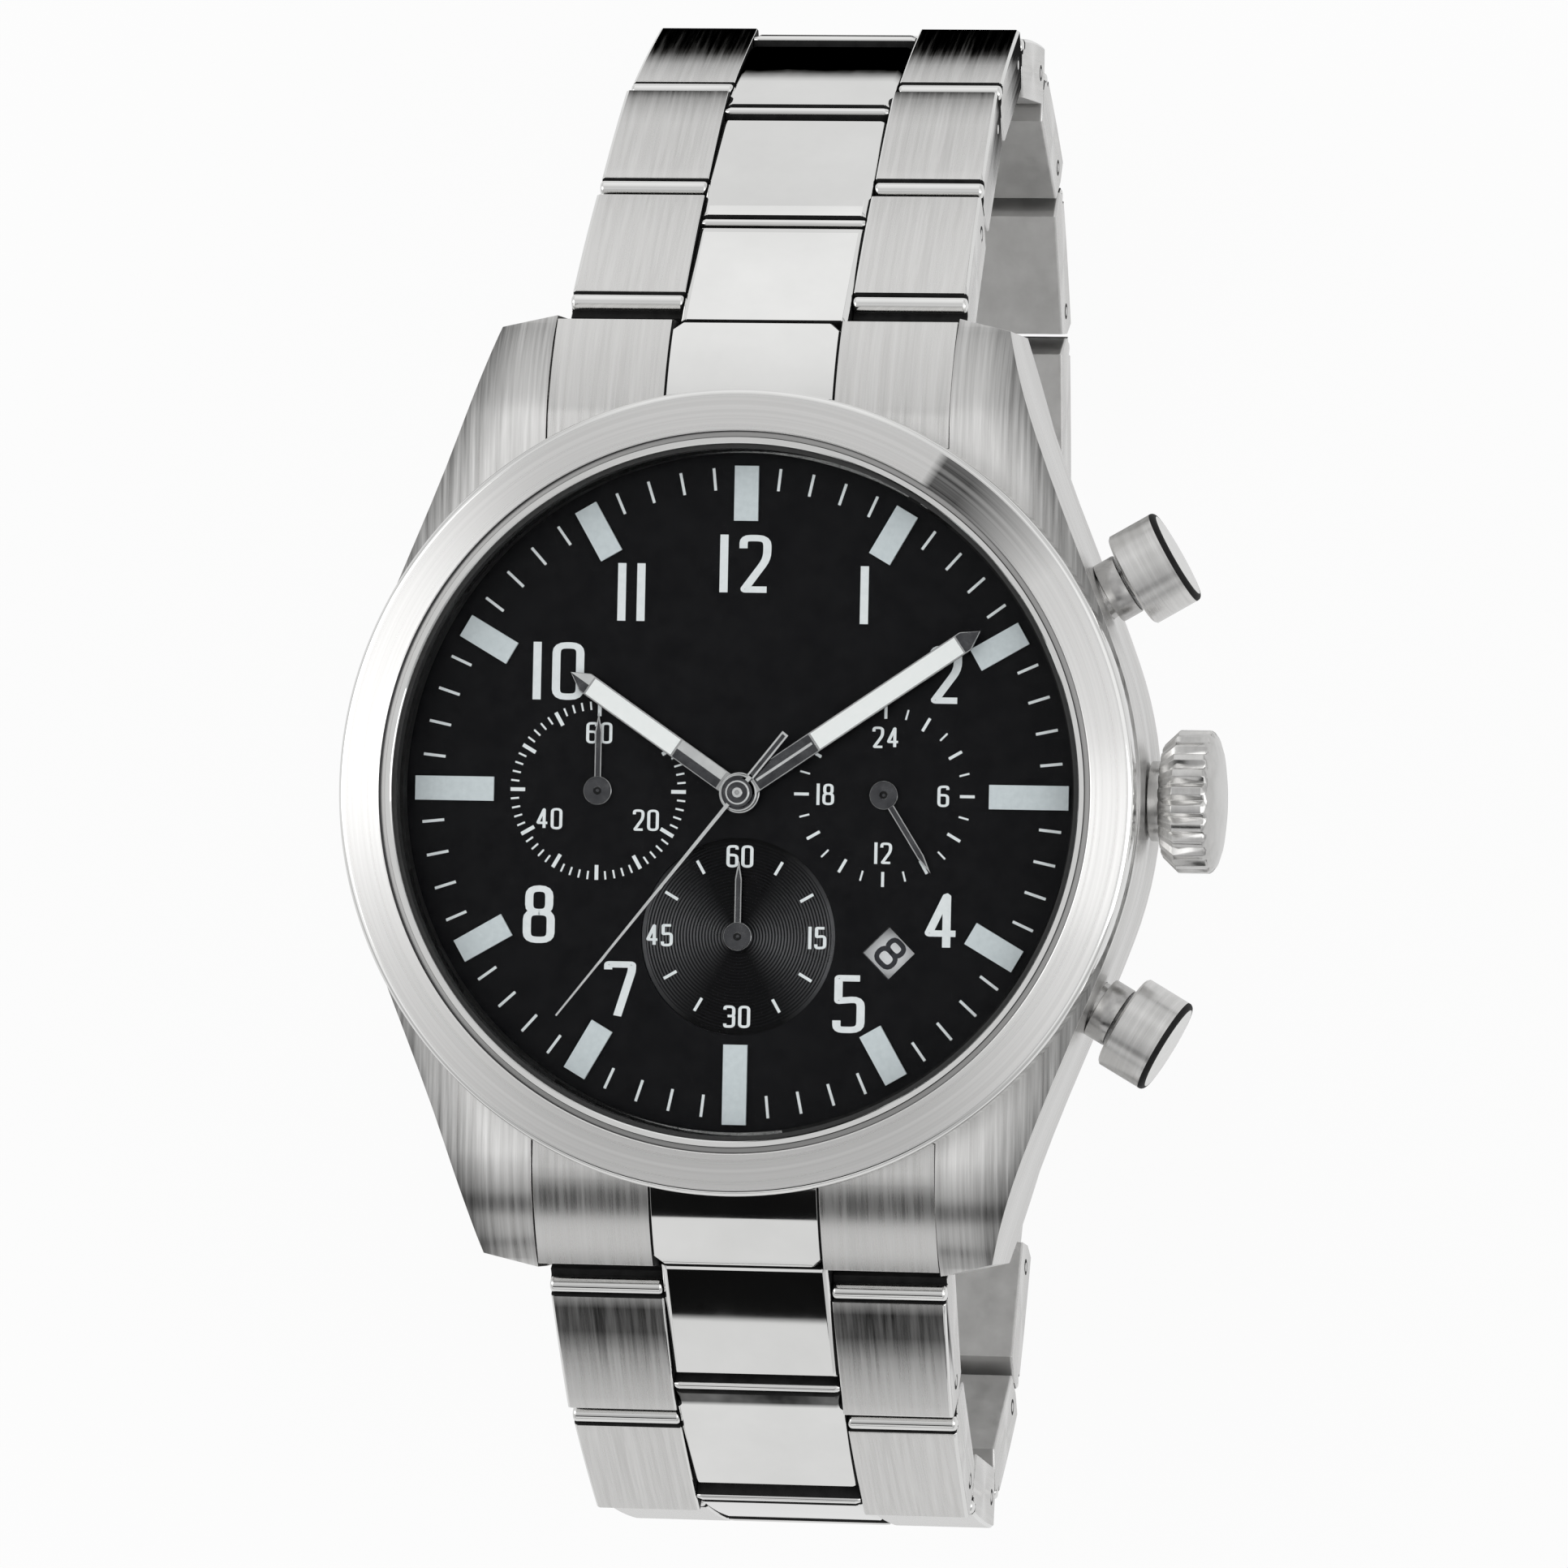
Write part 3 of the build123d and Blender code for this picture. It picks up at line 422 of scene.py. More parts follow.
def bezelShade(tree, grain):
    # a painted reflection: one dark fan on the brushed ring, which starts sharply after 1 o'clock and fades
    # out clockwise
    values = paintedShadeValues["bezel"]
    place = splitPlace(tree, "Object")
    angle = addMath(tree, "ARCTAN2", place["X"], place["Y"])
    started = remapped(tree, angle, *[radians(turn) for turn in values["start"]])
    faded = remapped(tree, angle, *[radians(turn) for turn in values["end"]])
    part = addMath(tree, "MULTIPLY", started, addMath(tree, "SUBTRACT", 1.0, faded))
    return streakedPart(tree, part, grain, values)


def sunkShade(tree, grain):
    # painted reflection: the rings stay light to the left and right of the sunk dial's middle and are
    # painted dark above and below it
    values = paintedShadeValues["sunkDial"]
    place = splitPlace(tree, "Object")
    across = addMath(tree, "ABSOLUTE", addMath(tree, "SUBTRACT", place["X"], sunkCentre[0] * mm))
    along = addMath(tree, "ABSOLUTE", addMath(tree, "SUBTRACT", place["Y"], sunkCentre[1] * mm))
    turn = addMath(tree, "ARCTAN2", along, across)
    part = remapped(tree, turn, *[radians(edge) for edge in values["turn"]])
    return addMath(tree, "MULTIPLY", part, values["share"])


def linkShade(tree, grain):
    # the painted shade and reflections of each point of a row come with its mesh
    return streakedPart(tree, ownValue(tree, "shade")["Fac"], grain, paintedShadeValues["link"])


steelBump, plainBump = 0.004 * mm, 0.01 * mm
quarterTurn = 0.25


def steel(name, grain, tones, rough, bump=0.0, stretch=0.0, turn=None, shade=None):
    # grain(tree) gives the streaks; stretch draws the highlight out across brushing round the turn axis
    material, tree, shader = startMaterial(name)
    value = grain(tree)
    colour = twoTones(tree, value, tones)
    # painted shade darkens the colour and the tint of the edges
    if shade:
        part = shade(tree, value)
        colour = darkened(tree, colour, part)
        tree.links.new(toRange(tree, part, 1.0, 0.0), shader.inputs["Specular Tint"])
    roughness = toRange(tree, value, *rough)
    setSockets(tree, shader, {"Base Color": colour, "Roughness": roughness, "Metallic": 1})
    if bump:
        addBump(tree, shader, value, bump, steelBump)
    if turn:
        way = addNode(tree, "Tangent", direction_type="RADIAL", axis=turn).outputs[0]
        sockets = {"Tangent": way, "Anisotropic": stretch, "Anisotropic Rotation": quarterTurn}
        setSockets(tree, shader, sockets)
    return material


def warm(*levels):
    # the slightly warm greys of brushed steel
    return [(level, level - 0.005, level - 0.015) for level in levels]


def clear(*levels):
    # the paler greys of polished steel
    return [(level, level, level - 0.01) for level in levels]


def neutral(*levels):
    return [(level, level, level) for level in levels]


finishes = {
    # lengthwise brushing of the links, by each row's own coordinates: x along it, y outwards, z across
    "brushedLink": steel(
        "brushedLink", lambda tree: streaks(tree, (110, 3800, 3800), 5, local=True), warm(0.64, 0.78),
        (0.22, 0.34), 0.25, 0.8, "X", linkShade,
    ),
    "brushedAlong": steel(
        "brushedAlong", lambda tree: streaks(tree, (3800, 110, 110), 5), warm(0.64, 0.78),
        (0.22, 0.34), 0.25, 0.8, "X",
    ),
    "brushedCase": steel(
        "brushedCase", lambda tree: caseBrush(tree, 3600, 90), warm(0.62, 0.86), (0.24, 0.38), 0.3,
        0.7, "X", lugShade,
    ),
    "brushedRound": steel(
        "brushedRound", lambda tree: rings(tree, 5200, 40), warm(0.78, 0.92), (0.26, 0.31), 0.15, 1.0,
        "Z", bezelShade,
    ),
    "linkInside": steel(
        "linkInside", lambda tree: streaks(tree, (900, 900, 900), 3, local=True),
        [(0.70, 0.697, 0.69), (0.76, 0.757, 0.75)], (0.30, 0.38), 0.1,
    ),
    "polishedLink": steel("polishedLink", evenGrain(180), clear(0.82, 0.88), (0.01, 0.03), shade=linkShade),
    "grooveSteel": steel(
        "grooveSteel", lambda tree: rings(tree, 5200, 40), [(0.34, 0.34, 0.335), (0.46, 0.455, 0.45)],
        (0.25, 0.35),
    ),
    "polished": steel("polished", evenGrain(180), clear(0.82, 0.88), (0.03, 0.07)),
    "paleSatinHighlight": steel("paleSatinHighlight", evenGrain(1800), clear(0.84, 0.92), (0.28, 0.36), 0.05),
    "stemSteel": steel("stemSteel", evenGrain(2200), warm(0.50, 0.66), (0.20, 0.28)),
    "satin": steel("satin", evenGrain(2600), warm(0.56, 0.76), (0.22, 0.34), 0.1),
    # lathe-turned small parts: fine lines round the axis, which lies along the part's local z
    "turned": steel(
        "turned", lambda tree: streaks(tree, (160, 160, 5200), 4, local=True), warm(0.66, 0.82),
        (0.20, 0.28), 0.12,
    ),
    "turnedDark": steel(
        "turnedDark", evenGrain(3000), [(0.46, 0.455, 0.45), *warm(0.56)], (0.18, 0.26)
    ),
    "crownSteel": steel(
        "crownSteel", lambda tree: streaks(tree, (1200, 600, 600)), warm(0.56, 0.70), (0.14, 0.22), 0.05
    ),
    "wire": steel("wire", evenGrain(4000), [(0.45, 0.45, 0.46), *warm(0.56)], (0.25, 0.4)),
    "darkSteel": steel(
        "darkSteel", evenGrain(1500), [(0.06, 0.06, 0.065), (0.11, 0.11, 0.115)], (0.2, 0.3)
    ),
    "handSteel": steel("handSteel", evenGrain(900), neutral(0.42, 0.55), (0.14, 0.22)),
    "handLight": steel("handLight", evenGrain(900), neutral(0.66, 0.80), (0.16, 0.3)),
    "grooves": steel(
        "groovedBlack", evenGrain(400), [(0.07, 0.07, 0.073), (0.096, 0.096, 0.1)], (0.26, 0.30), 0.0,
        0.97, "Z", sunkShade,
    ),
}


def plain(name, tones, rough, scale, metallic=0.0, bump=0.0, coat=0.0, shine=0.5):
    material, tree, shader = startMaterial(name)
    value = streaks(tree, (scale, scale, scale))
    sockets = {
        "Base Color": twoTones(tree, value, tones),
        "Roughness": toRange(tree, value, *rough),
        "Metallic": metallic,
        "Coat Weight": coat,
        "Specular IOR Level": shine,
    }
    setSockets(tree, shader, sockets)
    if bump:
        addBump(tree, shader, value, bump, plainBump)
    return material


# what isn't bare steel: name, two tones, roughness, fineness of its grain, other values
plainFinishes = {
    "dial": (
        "dialBlack", [(0.004, 0.004, 0.005), (0.008, 0.008, 0.009)], (0.30, 0.42), 900,
        {"bump": 0.05, "shine": 0.09},
    ),
    # painted shadow: near black, for hollows, gaps, grooves and holes where shade falls, the dark edge of
    # the pushers' caps and the low ring in the small hands' hubs
    "paintedShadow": ("paintedShadowBlack", neutral(0.010, 0.020), (0.5, 0.7), 1500, {"shine": 0.1}),
    "lume": ("paleFill", [(0.64, 0.70, 0.72), (0.72, 0.78, 0.80)], (0.45, 0.6), 3000, {"bump": 0.1}),
    "handLume": ("handFill", [(0.95, 0.97, 0.96), (0.99, 1.0, 0.99)], (0.4, 0.55), 3000, {"bump": 0.1}),
    "print": ("dialPrint", [(0.82, 0.86, 0.87), (0.90, 0.93, 0.94)], (0.45, 0.6), 3000, {}),
    "dateInk": ("dateInk", [(0.02, 0.02, 0.03), (0.03, 0.03, 0.04)], (0.4, 0.5), 3000, {}),
    "dateWhite": ("dateWhite", [(0.90, 0.90, 0.92), (0.96, 0.96, 0.98)], (0.4, 0.5), 1500, {}),
    "rubber": ("gasketRubber", neutral(0.015, 0.03), (0.6, 0.75), 2500, {"bump": 0.3}),
    "seatRing": (
        "seatRing", [(0.66, 0.66, 0.655), (0.74, 0.74, 0.735)], (0.35, 0.45), 1500, {"metallic": 0.2},
    ),
    "ring": ("ringPlastic", [(0.70, 0.70, 0.68), (0.80, 0.80, 0.78)], (0.45, 0.6), 1500, {"bump": 0.1}),
    "gilt": (
        "giltBrass", [(0.55, 0.42, 0.22), (0.72, 0.58, 0.34)], (0.25, 0.4), 2500,
        {"metallic": 1.0, "bump": 0.1},
    ),
    "board": (
        "circuitBoard", [(0.02, 0.12, 0.05), (0.04, 0.18, 0.08)], (0.35, 0.5), 1800,
        {"bump": 0.1, "coat": 0.3},
    ),
    "copper": (
        "coilCopper", [(0.45, 0.18, 0.08), (0.70, 0.32, 0.16)], (0.25, 0.4), 6000,
        {"metallic": 1.0, "bump": 0.4},
    ),
}
for label, (name, tones, rough, scale, others) in plainFinishes.items():
    finishes[label] = plain(name, tones, rough, scale, **others)


def crystalGlass():
    # clear, with only its surface reflections showing
    material, tree = emptyMaterial("crystalGlass")
    through = addNode(tree, "BsdfTransparent", {"Color": (0.985, 0.99, 0.99, 1)})
    shine = addNode(tree, "BsdfGlossy", {"Roughness": 0.02})
    fresnel = addNode(tree, "LayerWeight", {"Blend": 0.12}).outputs["Fresnel"]
    smudge = toRange(tree, streaks(tree, (120, 120, 120)), 0.04, 0.12)
    part = addMath(tree, "MULTIPLY", fresnel, smudge)
    addNode(tree, "OutputMaterial", {0: mixedShaders(tree, part, through.outputs[0], shine.outputs[0])})
    return material


finishes["crystal"] = crystalGlass()
print("finishes ready")


# distances and angles at which points merge, edges count as sharp and faces as flat
pieceValues = {
    "merge": 0.0005 * mm,
    "sharp": radians(28),
    "copyMerge": 0.001 * mm,
    "flat": radians(0.6),
}


def finishPiece(name, bm, body, materials, slotName, nodes=(), bevel=0.0, segments=2, pick=None):
    bmesh.ops.remove_doubles(bm, verts=bm.verts, dist=pieceValues["merge"])
    bmesh.ops.recalc_face_normals(bm, faces=bm.faces)
    for face in bm.faces:
        face.smooth = True
        if pick:
            face.material_index = pick(face)
    piece = meshObject(name, bm)
    for label in materials:
        piece.data.materials.append(finishes[label])
    if bevel:
        rounding = piece.modifiers.new("edges", "BEVEL")
        rounding.width = bevel * mm
        rounding.segments = segments
        rounding.limit_method = "ANGLE"
        rounding.angle_limit = pieceValues["sharp"]
        rounding.miter_outer = "MITER_ARC"
    else:
        piece.data.set_sharp_from_angle(angle=pieceValues["sharp"])
    # large faces keep their own direction where they meet small ones
    weighting = piece.modifiers.new("shading", "WEIGHTED_NORMAL")
    weighting.weight = 100
    weighting.keep_sharp = True
    bpy.context.view_layer.update()
    graph = bpy.context.evaluated_depsgraph_get()
    finished = bpy.data.meshes.new_from_object(piece.evaluated_get(graph), depsgraph=graph)
    finished.name = name
    piece.modifiers.clear()
    piece.data = finished
    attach(piece, body)
    if nodes:
        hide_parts(*nodes)


def copyOf(node):
    bm = bmesh.new()
    bm.from_mesh(frame["nodes"][node].data)
    bmesh.ops.remove_doubles(bm, verts=bm.verts, dist=pieceValues["copyMerge"])
    bmesh.ops.dissolve_limit(
        bm,
        angle_limit=pieceValues["flat"],
        use_dissolve_boundaries=False,
        verts=bm.verts,
        edges=bm.edges,
    )
    return bm


def edged(node, body, materials, slotName, bevel=0.08, segments=2, pick=None):
    # the node's own form with its edges eased and finished
    name = node + "_finished"
    finishPiece(name, copyOf(node), body, materials, slotName, (node,), bevel, segments, pick)


def keepLocal(bm):
    # notes where each point lies in the piece's own directions, for the grain of its finish
    layer = bm.verts.layers.float_vector.new("local")
    for vert in bm.verts:
        vert[layer] = vert.co


def bothHalves(half):
    # a profile from its lower half
    return half + [(radius, -height) for radius, height in reversed(half)]


def lathe(bm, profile, place=None, steps=128):
    # profile: (radius, height) in millimetres; place: where that axis lies
    start = len(bm.verts)
    chain = [bm.verts.new((radius * mm, 0, height * mm)) for radius, height in profile]
    edges = [bm.edges.new(pair) for pair in zip(chain, chain[1:])]
    if profile[0] != profile[-1] and profile[0][0] > 0 and profile[-1][0] > 0:
        edges.append(bm.edges.new((chain[-1], chain[0])))
    bmesh.ops.spin(
        bm, geom=chain + edges, cent=(0, 0, 0), axis=(0, 0, 1), angle=2 * pi, steps=steps, use_merge=True
    )
    bm.verts.ensure_lookup_table()
    made = bm.verts[start:]
    if place:
        bmesh.ops.transform(bm, matrix=place, verts=made)
    return made


def arcPoints(start, middle, end, count):
    # points on the circle through three points
    ax, ay = start
    bx, by = middle
    cx, cy = end
    d = 2 * (ax * (by - cy) + bx * (cy - ay) + cx * (ay - by))
    ux = ((ax**2 + ay**2) * (by - cy) + (bx**2 + by**2) * (cy - ay) + (cx**2 + cy**2) * (ay - by)) / d
    uy = ((ax**2 + ay**2) * (cx - bx) + (bx**2 + by**2) * (ax - cx) + (cx**2 + cy**2) * (bx - ax)) / d
    radius = sqrt((ax - ux) ** 2 + (ay - uy) ** 2)
    first = atan2(ay - uy, ax - ux)
    through = (atan2(by - uy, bx - ux) - first) % (2 * pi)
    last = (atan2(cy - uy, cx - ux) - first) % (2 * pi)
    turn = last if through < last else last - 2 * pi
    steps = [first + turn * k / count for k in range(count + 1)]
    return [(ux + radius * cos(a), uy + radius * sin(a)) for a in steps]


def slab(bm, outline, low, high, place):
    # a flat outline made into a plate between two heights, then put in place
    points = [bm.verts.new((x * mm, y * mm, low * mm)) for x, y in outline]
    face = bm.faces.new(points)
    made = bmesh.ops.extrude_face_region(bm, geom=[face])
    top = [v for v in made["geom"] if isinstance(v, bmesh.types.BMVert)]
    bmesh.ops.translate(bm, verts=top, vec=(0, 0, (high - low) * mm))
    bmesh.ops.transform(bm, matrix=place, verts=points + top)


def straight(start, end, half):
    # the outline of a straight strip along x
    return [(start, -half), (end, -half), (end, half), (start, half)]


# bezel and crystal, with radii and heights in millimetres
bezelValues = {
    "outer": 21.6,
    "inner": 18.2,
    "seat": 18.65,
    "groove": (19.0, 19.32),
    "low": 8.9,
    "ledge": 9.9,
    "top": 11.1,
    "crown": 21.25,
    "brushedAbove": 10.8,
    "steps": 256,
}


def buildBezel(values):
    outer, inner, seat, crown = values["outer"], values["inner"], values["seat"], values["crown"]
    grooveIn, grooveOut = values["groove"]
    low, top, ledge = values["low"], values["top"], values["ledge"]
    # from the dial's edge up the crystal's seat, over the polished ring and its groove to the brushed ring
    profile = [
        (inner, low),
        (inner, ledge),
        (seat, ledge),
        (seat, 10.96),
        (seat + 0.06, 11.02),
        (grooveIn - 0.03, 11.04),
        (grooveIn, 10.98),
        (grooveIn + 0.02, 10.90),
        (grooveOut - 0.06, 10.86),
        (grooveOut, top - 0.03),
        (grooveOut + 0.06, top),
    ]
    profile += arcPoints((crown, 10.84), (21.50, 10.72), (outer, 10.45), 6)
    profile += arcPoints((outer, 9.2), (21.55, 9.0), (21.4, low), 3)
    bm = bmesh.new()
    lathe(bm, profile, steps=values["steps"])

    def pick(face):
        # the wall under the crystal's seat takes the painted shadow; the groove is painted darker as shade,
        # with grooveSteel on its floor and darkSteel on its outer wall
        middle = face.calc_center_median()
        radius = sqrt(middle.x**2 + middle.y**2) / mm
        if radius < seat + 0.01:
            return 2 if radius < seat - 0.01 else 4
        if grooveIn - 0.01 < radius < grooveOut - 0.05:
            return 5
        if radius < grooveOut + 0.001 and radius > grooveOut - 0.05:
            return 3
        return 0 if grooveOut < radius < crown and middle.z > values["brushedAbove"] * mm else 1

    steels = ["brushedRound", "polished", "paintedShadow", "darkSteel", "seatRing", "grooveSteel"]
    finishPiece("bezel_ring", bm, "head", steels, "brushed_steel", ["bezel"], pick=pick)


crystalValues = {"low": 9.9, "top": 11.1, "radius": 18.38, "steps": 160}


def buildCrystal(values):
    low, top, radius = values["low"], values["top"], values["radius"]
    bm = bmesh.new()
    rim = arcPoints((radius - 0.06, top), (radius - 0.01, top - 0.02), (radius, top - 0.06), 3)
    lathe(bm, [(0, top)] + rim + [(radius, low), (0, low)], steps=values["steps"])
    finishPiece("crystal_clear", bm, "head", ["crystal"], "crystal", ["crystal"])


buildBezel(bezelValues)
buildCrystal(crystalValues)
print("bezel and crystal built")

# case, end links and case back
edged("case_middle", "head", ["brushedCase"], "brushed_steel", 0.12, 3)

endLinkValues = {
    "centreHalf": 4.54,
    "grooveInner": 4.66,
    "grooveOuter": 4.8,
    "topFacing": 0.3,
    "sideFacing": 0.8,
}


def pickEndLink(face):
    # polished centre plate, grooves beside it painted dark as shade, brushed sides
    values = endLinkValues
    across = abs(face.calc_center_median().x) / mm
    if face.normal.z > values["topFacing"] and across < values["centreHalf"]:
        return 1
    if face.normal.z > values["topFacing"] and across < values["grooveInner"]:
        return 2
    if abs(face.normal.x) > values["sideFacing"] and across < values["grooveOuter"]:
        return 2
    return 0


endLinkSteels = ["brushedAlong", "polished", "paintedShadow"]
for hour in ("12", "6"):
    edged(f"end_link_{hour}", "head", endLinkSteels, "brushed_steel", 0.08, 2, pickEndLink)
edged("case_back", "head", ["brushedRound"], "brushed_steel", 0.08)
print("case built")

# bracelet: x along a row, y out of the loop, in millimetres
linkValues = {
    "pitch": 9.0,
    "half": 1.7,
    "near": 1.55,
    "far": 10.42,
    "centreNear": -1.0,
    "centreFar": 7.8,
    "inner": 4.61,
    "innerChamfer": 0.07,
    "centreHalf": 4.57,
    "crown": 0.1,
    "notch": 0.75,
    "chamfer": 0.16,
    "centreChamfer": 0.30,
    "beadAt": (0.72, 1.15),
    "beadRadius": 0.46,
    "beadCorner": 0.24,
    "beadGap": 0.04,
    "roll": (-0.74, 1.27),
    "rollRadius": 0.25,
    "pin": 0.45,
    "hole": 0.46,
    "holeTip": 0.26,
    "widths": (21.8, 21.3, 20.8, 20.4, 20.2, 20.0, 20.0, 20.0),
}
# the painted shadow finish goes on the hollows under the beads, the gaps between pieces and their inner
# cheeks
mainFinish, edgeFinish, paintedShadowFinish, insideFinish = 0, 1, 2, 3
# painted shade and reflections on the brushed and polished tops at places along a row; between them it
# changes evenly
outerPaintedShades = {
    "row_6_1": ((2.7, 0.55), (3.1, 0.95), (5.0, 0.85), (6.6, 0.1), (7.4, 0)),
    "row_12_2": ((7.6, 0), (9.4, 0.35), (10.2, 0.9)),
    "row_12_3": ((2.9, 0), (5.0, 0.35), (6.8, 0.9), (8.4, 1)),
}
centrePaintedShades = {
    "row_12_3": ((2.6, 0), (4.2, 0.97), (7.8, 1)),
    "row_6_2": ((-0.5, 1), (0.42, 1), (0.5, 0)),
}


def keepShade(bm, stops):
    # each point keeps its painted shade, from the stops along the row
    layer = bm.verts.layers.float.new("shade")
    for vert in bm.verts:
        place = vert.co.x / mm
        level = 0
        for (start, startLevel), (end, endLevel) in zip(stops or (), (stops or ())[1:]):
            if place >= start:
                level = startLevel + (endLevel - startLevel) * min(1, (place - start) / (end - start))
        vert[layer] = level


def rowPlace(start, end, side):
    # x along the row, y out of the loop, z across it
    along = (end - start).normalized()
    across = Vector((side, 0, 0))
    outward = across.cross(along)
    return Matrix.Translation(start) @ axesTo(along, outward, across)


def lowerSide(near, far, top, values):
    # down the far end and back along the inside of the loop
    half, notch = values["half"], values["notch"]
    return [
        (far, top, mainFinish),
        (far, 0, insideFinish),
        (far - notch, -half, insideFinish),
        (near + notch, -half, insideFinish),
    ]


def outerSide(values):
    # an outer link seen from the side: the hollow under its bead, painted dark as shadow, the top, the rest
    near, far, half = values["near"], values["far"], values["half"]
    top = half - values["crown"]
    paintedShadow = [(0, 0), (0, 0.70), (0.4, 0.75), (0.5, 1.04), (1.13, 1.04)]
    before = [(near + x, y, paintedShadowFinish) for x, y in paintedShadow]
    start = near + 1.19
    crown = arcPoints((start, top), ((start + far) / 2, half), (far - 0.14, top), 10)
    return before, crown, lowerSide(near, far, top - 0.16, values)


def centreSide(values, first):
    near, far, half = values["centreNear"], values["centreFar"], values["half"]
    top = half - values["crown"]
    if first:
        # the first centre piece starts under the end link's plate, where its slope is painted dark as shade
        shaded = [(near, 0), (-0.7, 0.72), (0.0, 0.95), (0.38, 1.05), (0.40, half - 0.14)]
        before = [(x, y, paintedShadowFinish) for x, y in shaded]
        crown = arcPoints((0.46, half), (far * 0.5, half - 0.03), (far - 0.1, top - 0.02), 24)
    else:
        x, y = values["roll"]
        radius = values["rollRadius"]
        turns = [pi - pi * k / 8 for k in range(8)]
        before = [(near, 0, paintedShadowFinish)]
        before += [(x + radius * cos(a), y + radius * sin(a), mainFinish) for a in turns]
        before += [(x + radius, y, paintedShadowFinish), (x + radius + 0.03, 0.95, paintedShadowFinish)]
        start = x + radius + 0.07
        crown = arcPoints((start, top), ((start + far) / 2, half), (far - 0.1, top), 24)
    return before, crown, lowerSide(near, far, top - 0.12, values)


def layered(bm, side, levels, reach, caps):
    # the side outline carried across the link; each level has its place at the near and far ends and how
    # far the top has sunk there, which makes the chamfers along its edges
    before, crown, after = side
    top = [(x, y, mainFinish) for x, y in crown[:-1]] + [(*crown[-1], edgeFinish)]
    points = before + top + after
    first, last = len(before), len(before) + len(crown)
    rings = []
    for (nearZ, farZ), drop in levels:
        ring = []
        for k, (x, y, kind) in enumerate(points):
            share = (x - reach[0]) / (reach[1] - reach[0])
            sunk = y - drop if first <= k < last else min(y, crown[0][1] - drop)
            ring.append(bm.verts.new((x * mm, sunk * mm, (nearZ + (farZ - nearZ) * share) * mm)))
        rings.append(ring)
    for i, (ring, nextRing) in enumerate(zip(rings, rings[1:])):
        chamfered = levels[i][1] != levels[i + 1][1]
        for k, point in enumerate(points):
            j = (k + 1) % len(points)
            face = bm.faces.new((ring[k], ring[j], nextRing[j], nextRing[k]))
            onTop = first <= k < last - 1
            face.material_index = edgeFinish if chamfered and onTop else point[2]
    bm.faces.new(rings[0]).material_index = caps[0]
    bm.faces.new(rings[-1]).material_index = caps[1]


def addRowPiece(row, part, bm, place, steels, nodes=(), bevel=0.0):
    # a piece made in its own directions, put in place
    bmesh.ops.transform(bm, matrix=place, verts=bm.verts)
    finishPiece(row + part, bm, row, steels, "brushed_steel", nodes, bevel, 1)


def beadProfile(length, values):
    # a rolled bead with rounded ends
    radius, corner = values["beadRadius"], values["beadCorner"]
    half = [(0, -length / 2)]
    for k in range(5):
        turn = pi * k / 8
        half.append((radius - corner * (1 - sin(turn)), -length / 2 + corner * (1 - cos(turn))))
    return bothHalves(half)


def buildOuters(name, place, startHalf, endHalf, values):
    near, inner, chamfer = values["near"], values["inner"], values["chamfer"]
    past = inner + values["innerChamfer"]
    outers = bmesh.new()
    beads = bmesh.new()
    for way in (1, -1):
        levels = [
            ((way * inner, way * inner), values["innerChamfer"]),
            ((way * past, way * past), 0),
            ((way * (startHalf - chamfer), way * (endHalf - chamfer)), 0),
            ((way * startHalf, way * endHalf), chamfer),
        ]
        layered(outers, outerSide(values), levels, (near, values["far"]), (paintedShadowFinish, mainFinish))
        x, y = values["beadAt"]
        shift = shifted(near + x, y, way * (inner + startHalf) / 2)
        lathe(beads, beadProfile(startHalf - inner - values["beadGap"], values), shift, 20)
    keepLocal(outers)
    keepShade(outers, outerPaintedShades.get(name))
    steels = ["brushedLink", "polished", "paintedShadow", "linkInside"]
    addRowPiece(name, "_outers", outers, place, steels, [name], 0.035)
    addRowPiece(name, "_beads", beads, place, ["polished"])


def buildCentre(name, place, first, values):
    half, slope = values["centreHalf"], values["centreChamfer"]
    levels = [
        ((-half, -half), slope * 0.6),
        ((-half + slope, -half + slope), 0),
        ((half - slope, half - slope), 0),
        ((half, half), slope * 0.6),
    ]
    centre = bmesh.new()
    layered(centre, centreSide(values, first), levels, (0, values["far"]), (paintedShadowFinish, paintedShadowFinish))
    keepShade(centre, centrePaintedShades.get(name))
    steels = ["polishedLink", "polishedLink", "paintedShadow", "linkInside"]
    addRowPiece(name, "_centre", centre, place, steels, [name], 0.03)


def buildPin(name, place, startHalf, endHalf, values):
    near, pitch, thick = values["near"], values["pitch"], values["pin"]
    place = place @ shifted(pitch, 0)
    pin = bmesh.new()
    reach = endHalf - 0.5
    lathe(pin, bothHalves([(0, -reach), (thick - 0.08, -reach), (thick, -reach + 0.08)]), steps=24)
    addRowPiece(name, "_pin", pin, place, ["satin"])
    # the pin's ends, seen in their holes in the row's sides; the holes are painted dark as shadow
    ends = bmesh.new()
    share = (pitch - near) / (values["far"] - near)
    sideAt = startHalf + (endHalf - startHalf) * share
    discs = ((values["hole"], -0.05, 0.006), (values["holeTip"], -0.02, 0.014))
    for kind, (radius, low, high) in enumerate(discs):
        low, high = sideAt + low, sideAt + high
        for way in (1, -1):
            disc = [(0, way * low), (radius, way * low), (radius, way * high), (0, way * high)]
            made = lathe(ends, disc, steps=20)
            for face in {face for vert in made for face in vert.link_faces}:
                face.material_index = kind
    addRowPiece(name, "_pin_ends", ends, place, ["paintedShadow", "satin"])


def buildRow(name, start, end, side, widths, first, last, values):
    place = rowPlace(start, end, side)
    startHalf, endHalf = widths[0] / 2, widths[1] / 2
    buildOuters(name, place, startHalf, endHalf, values)
    buildCentre(name, place, first, values)
    if not last:
        buildPin(name, place, startHalf, endHalf, values)


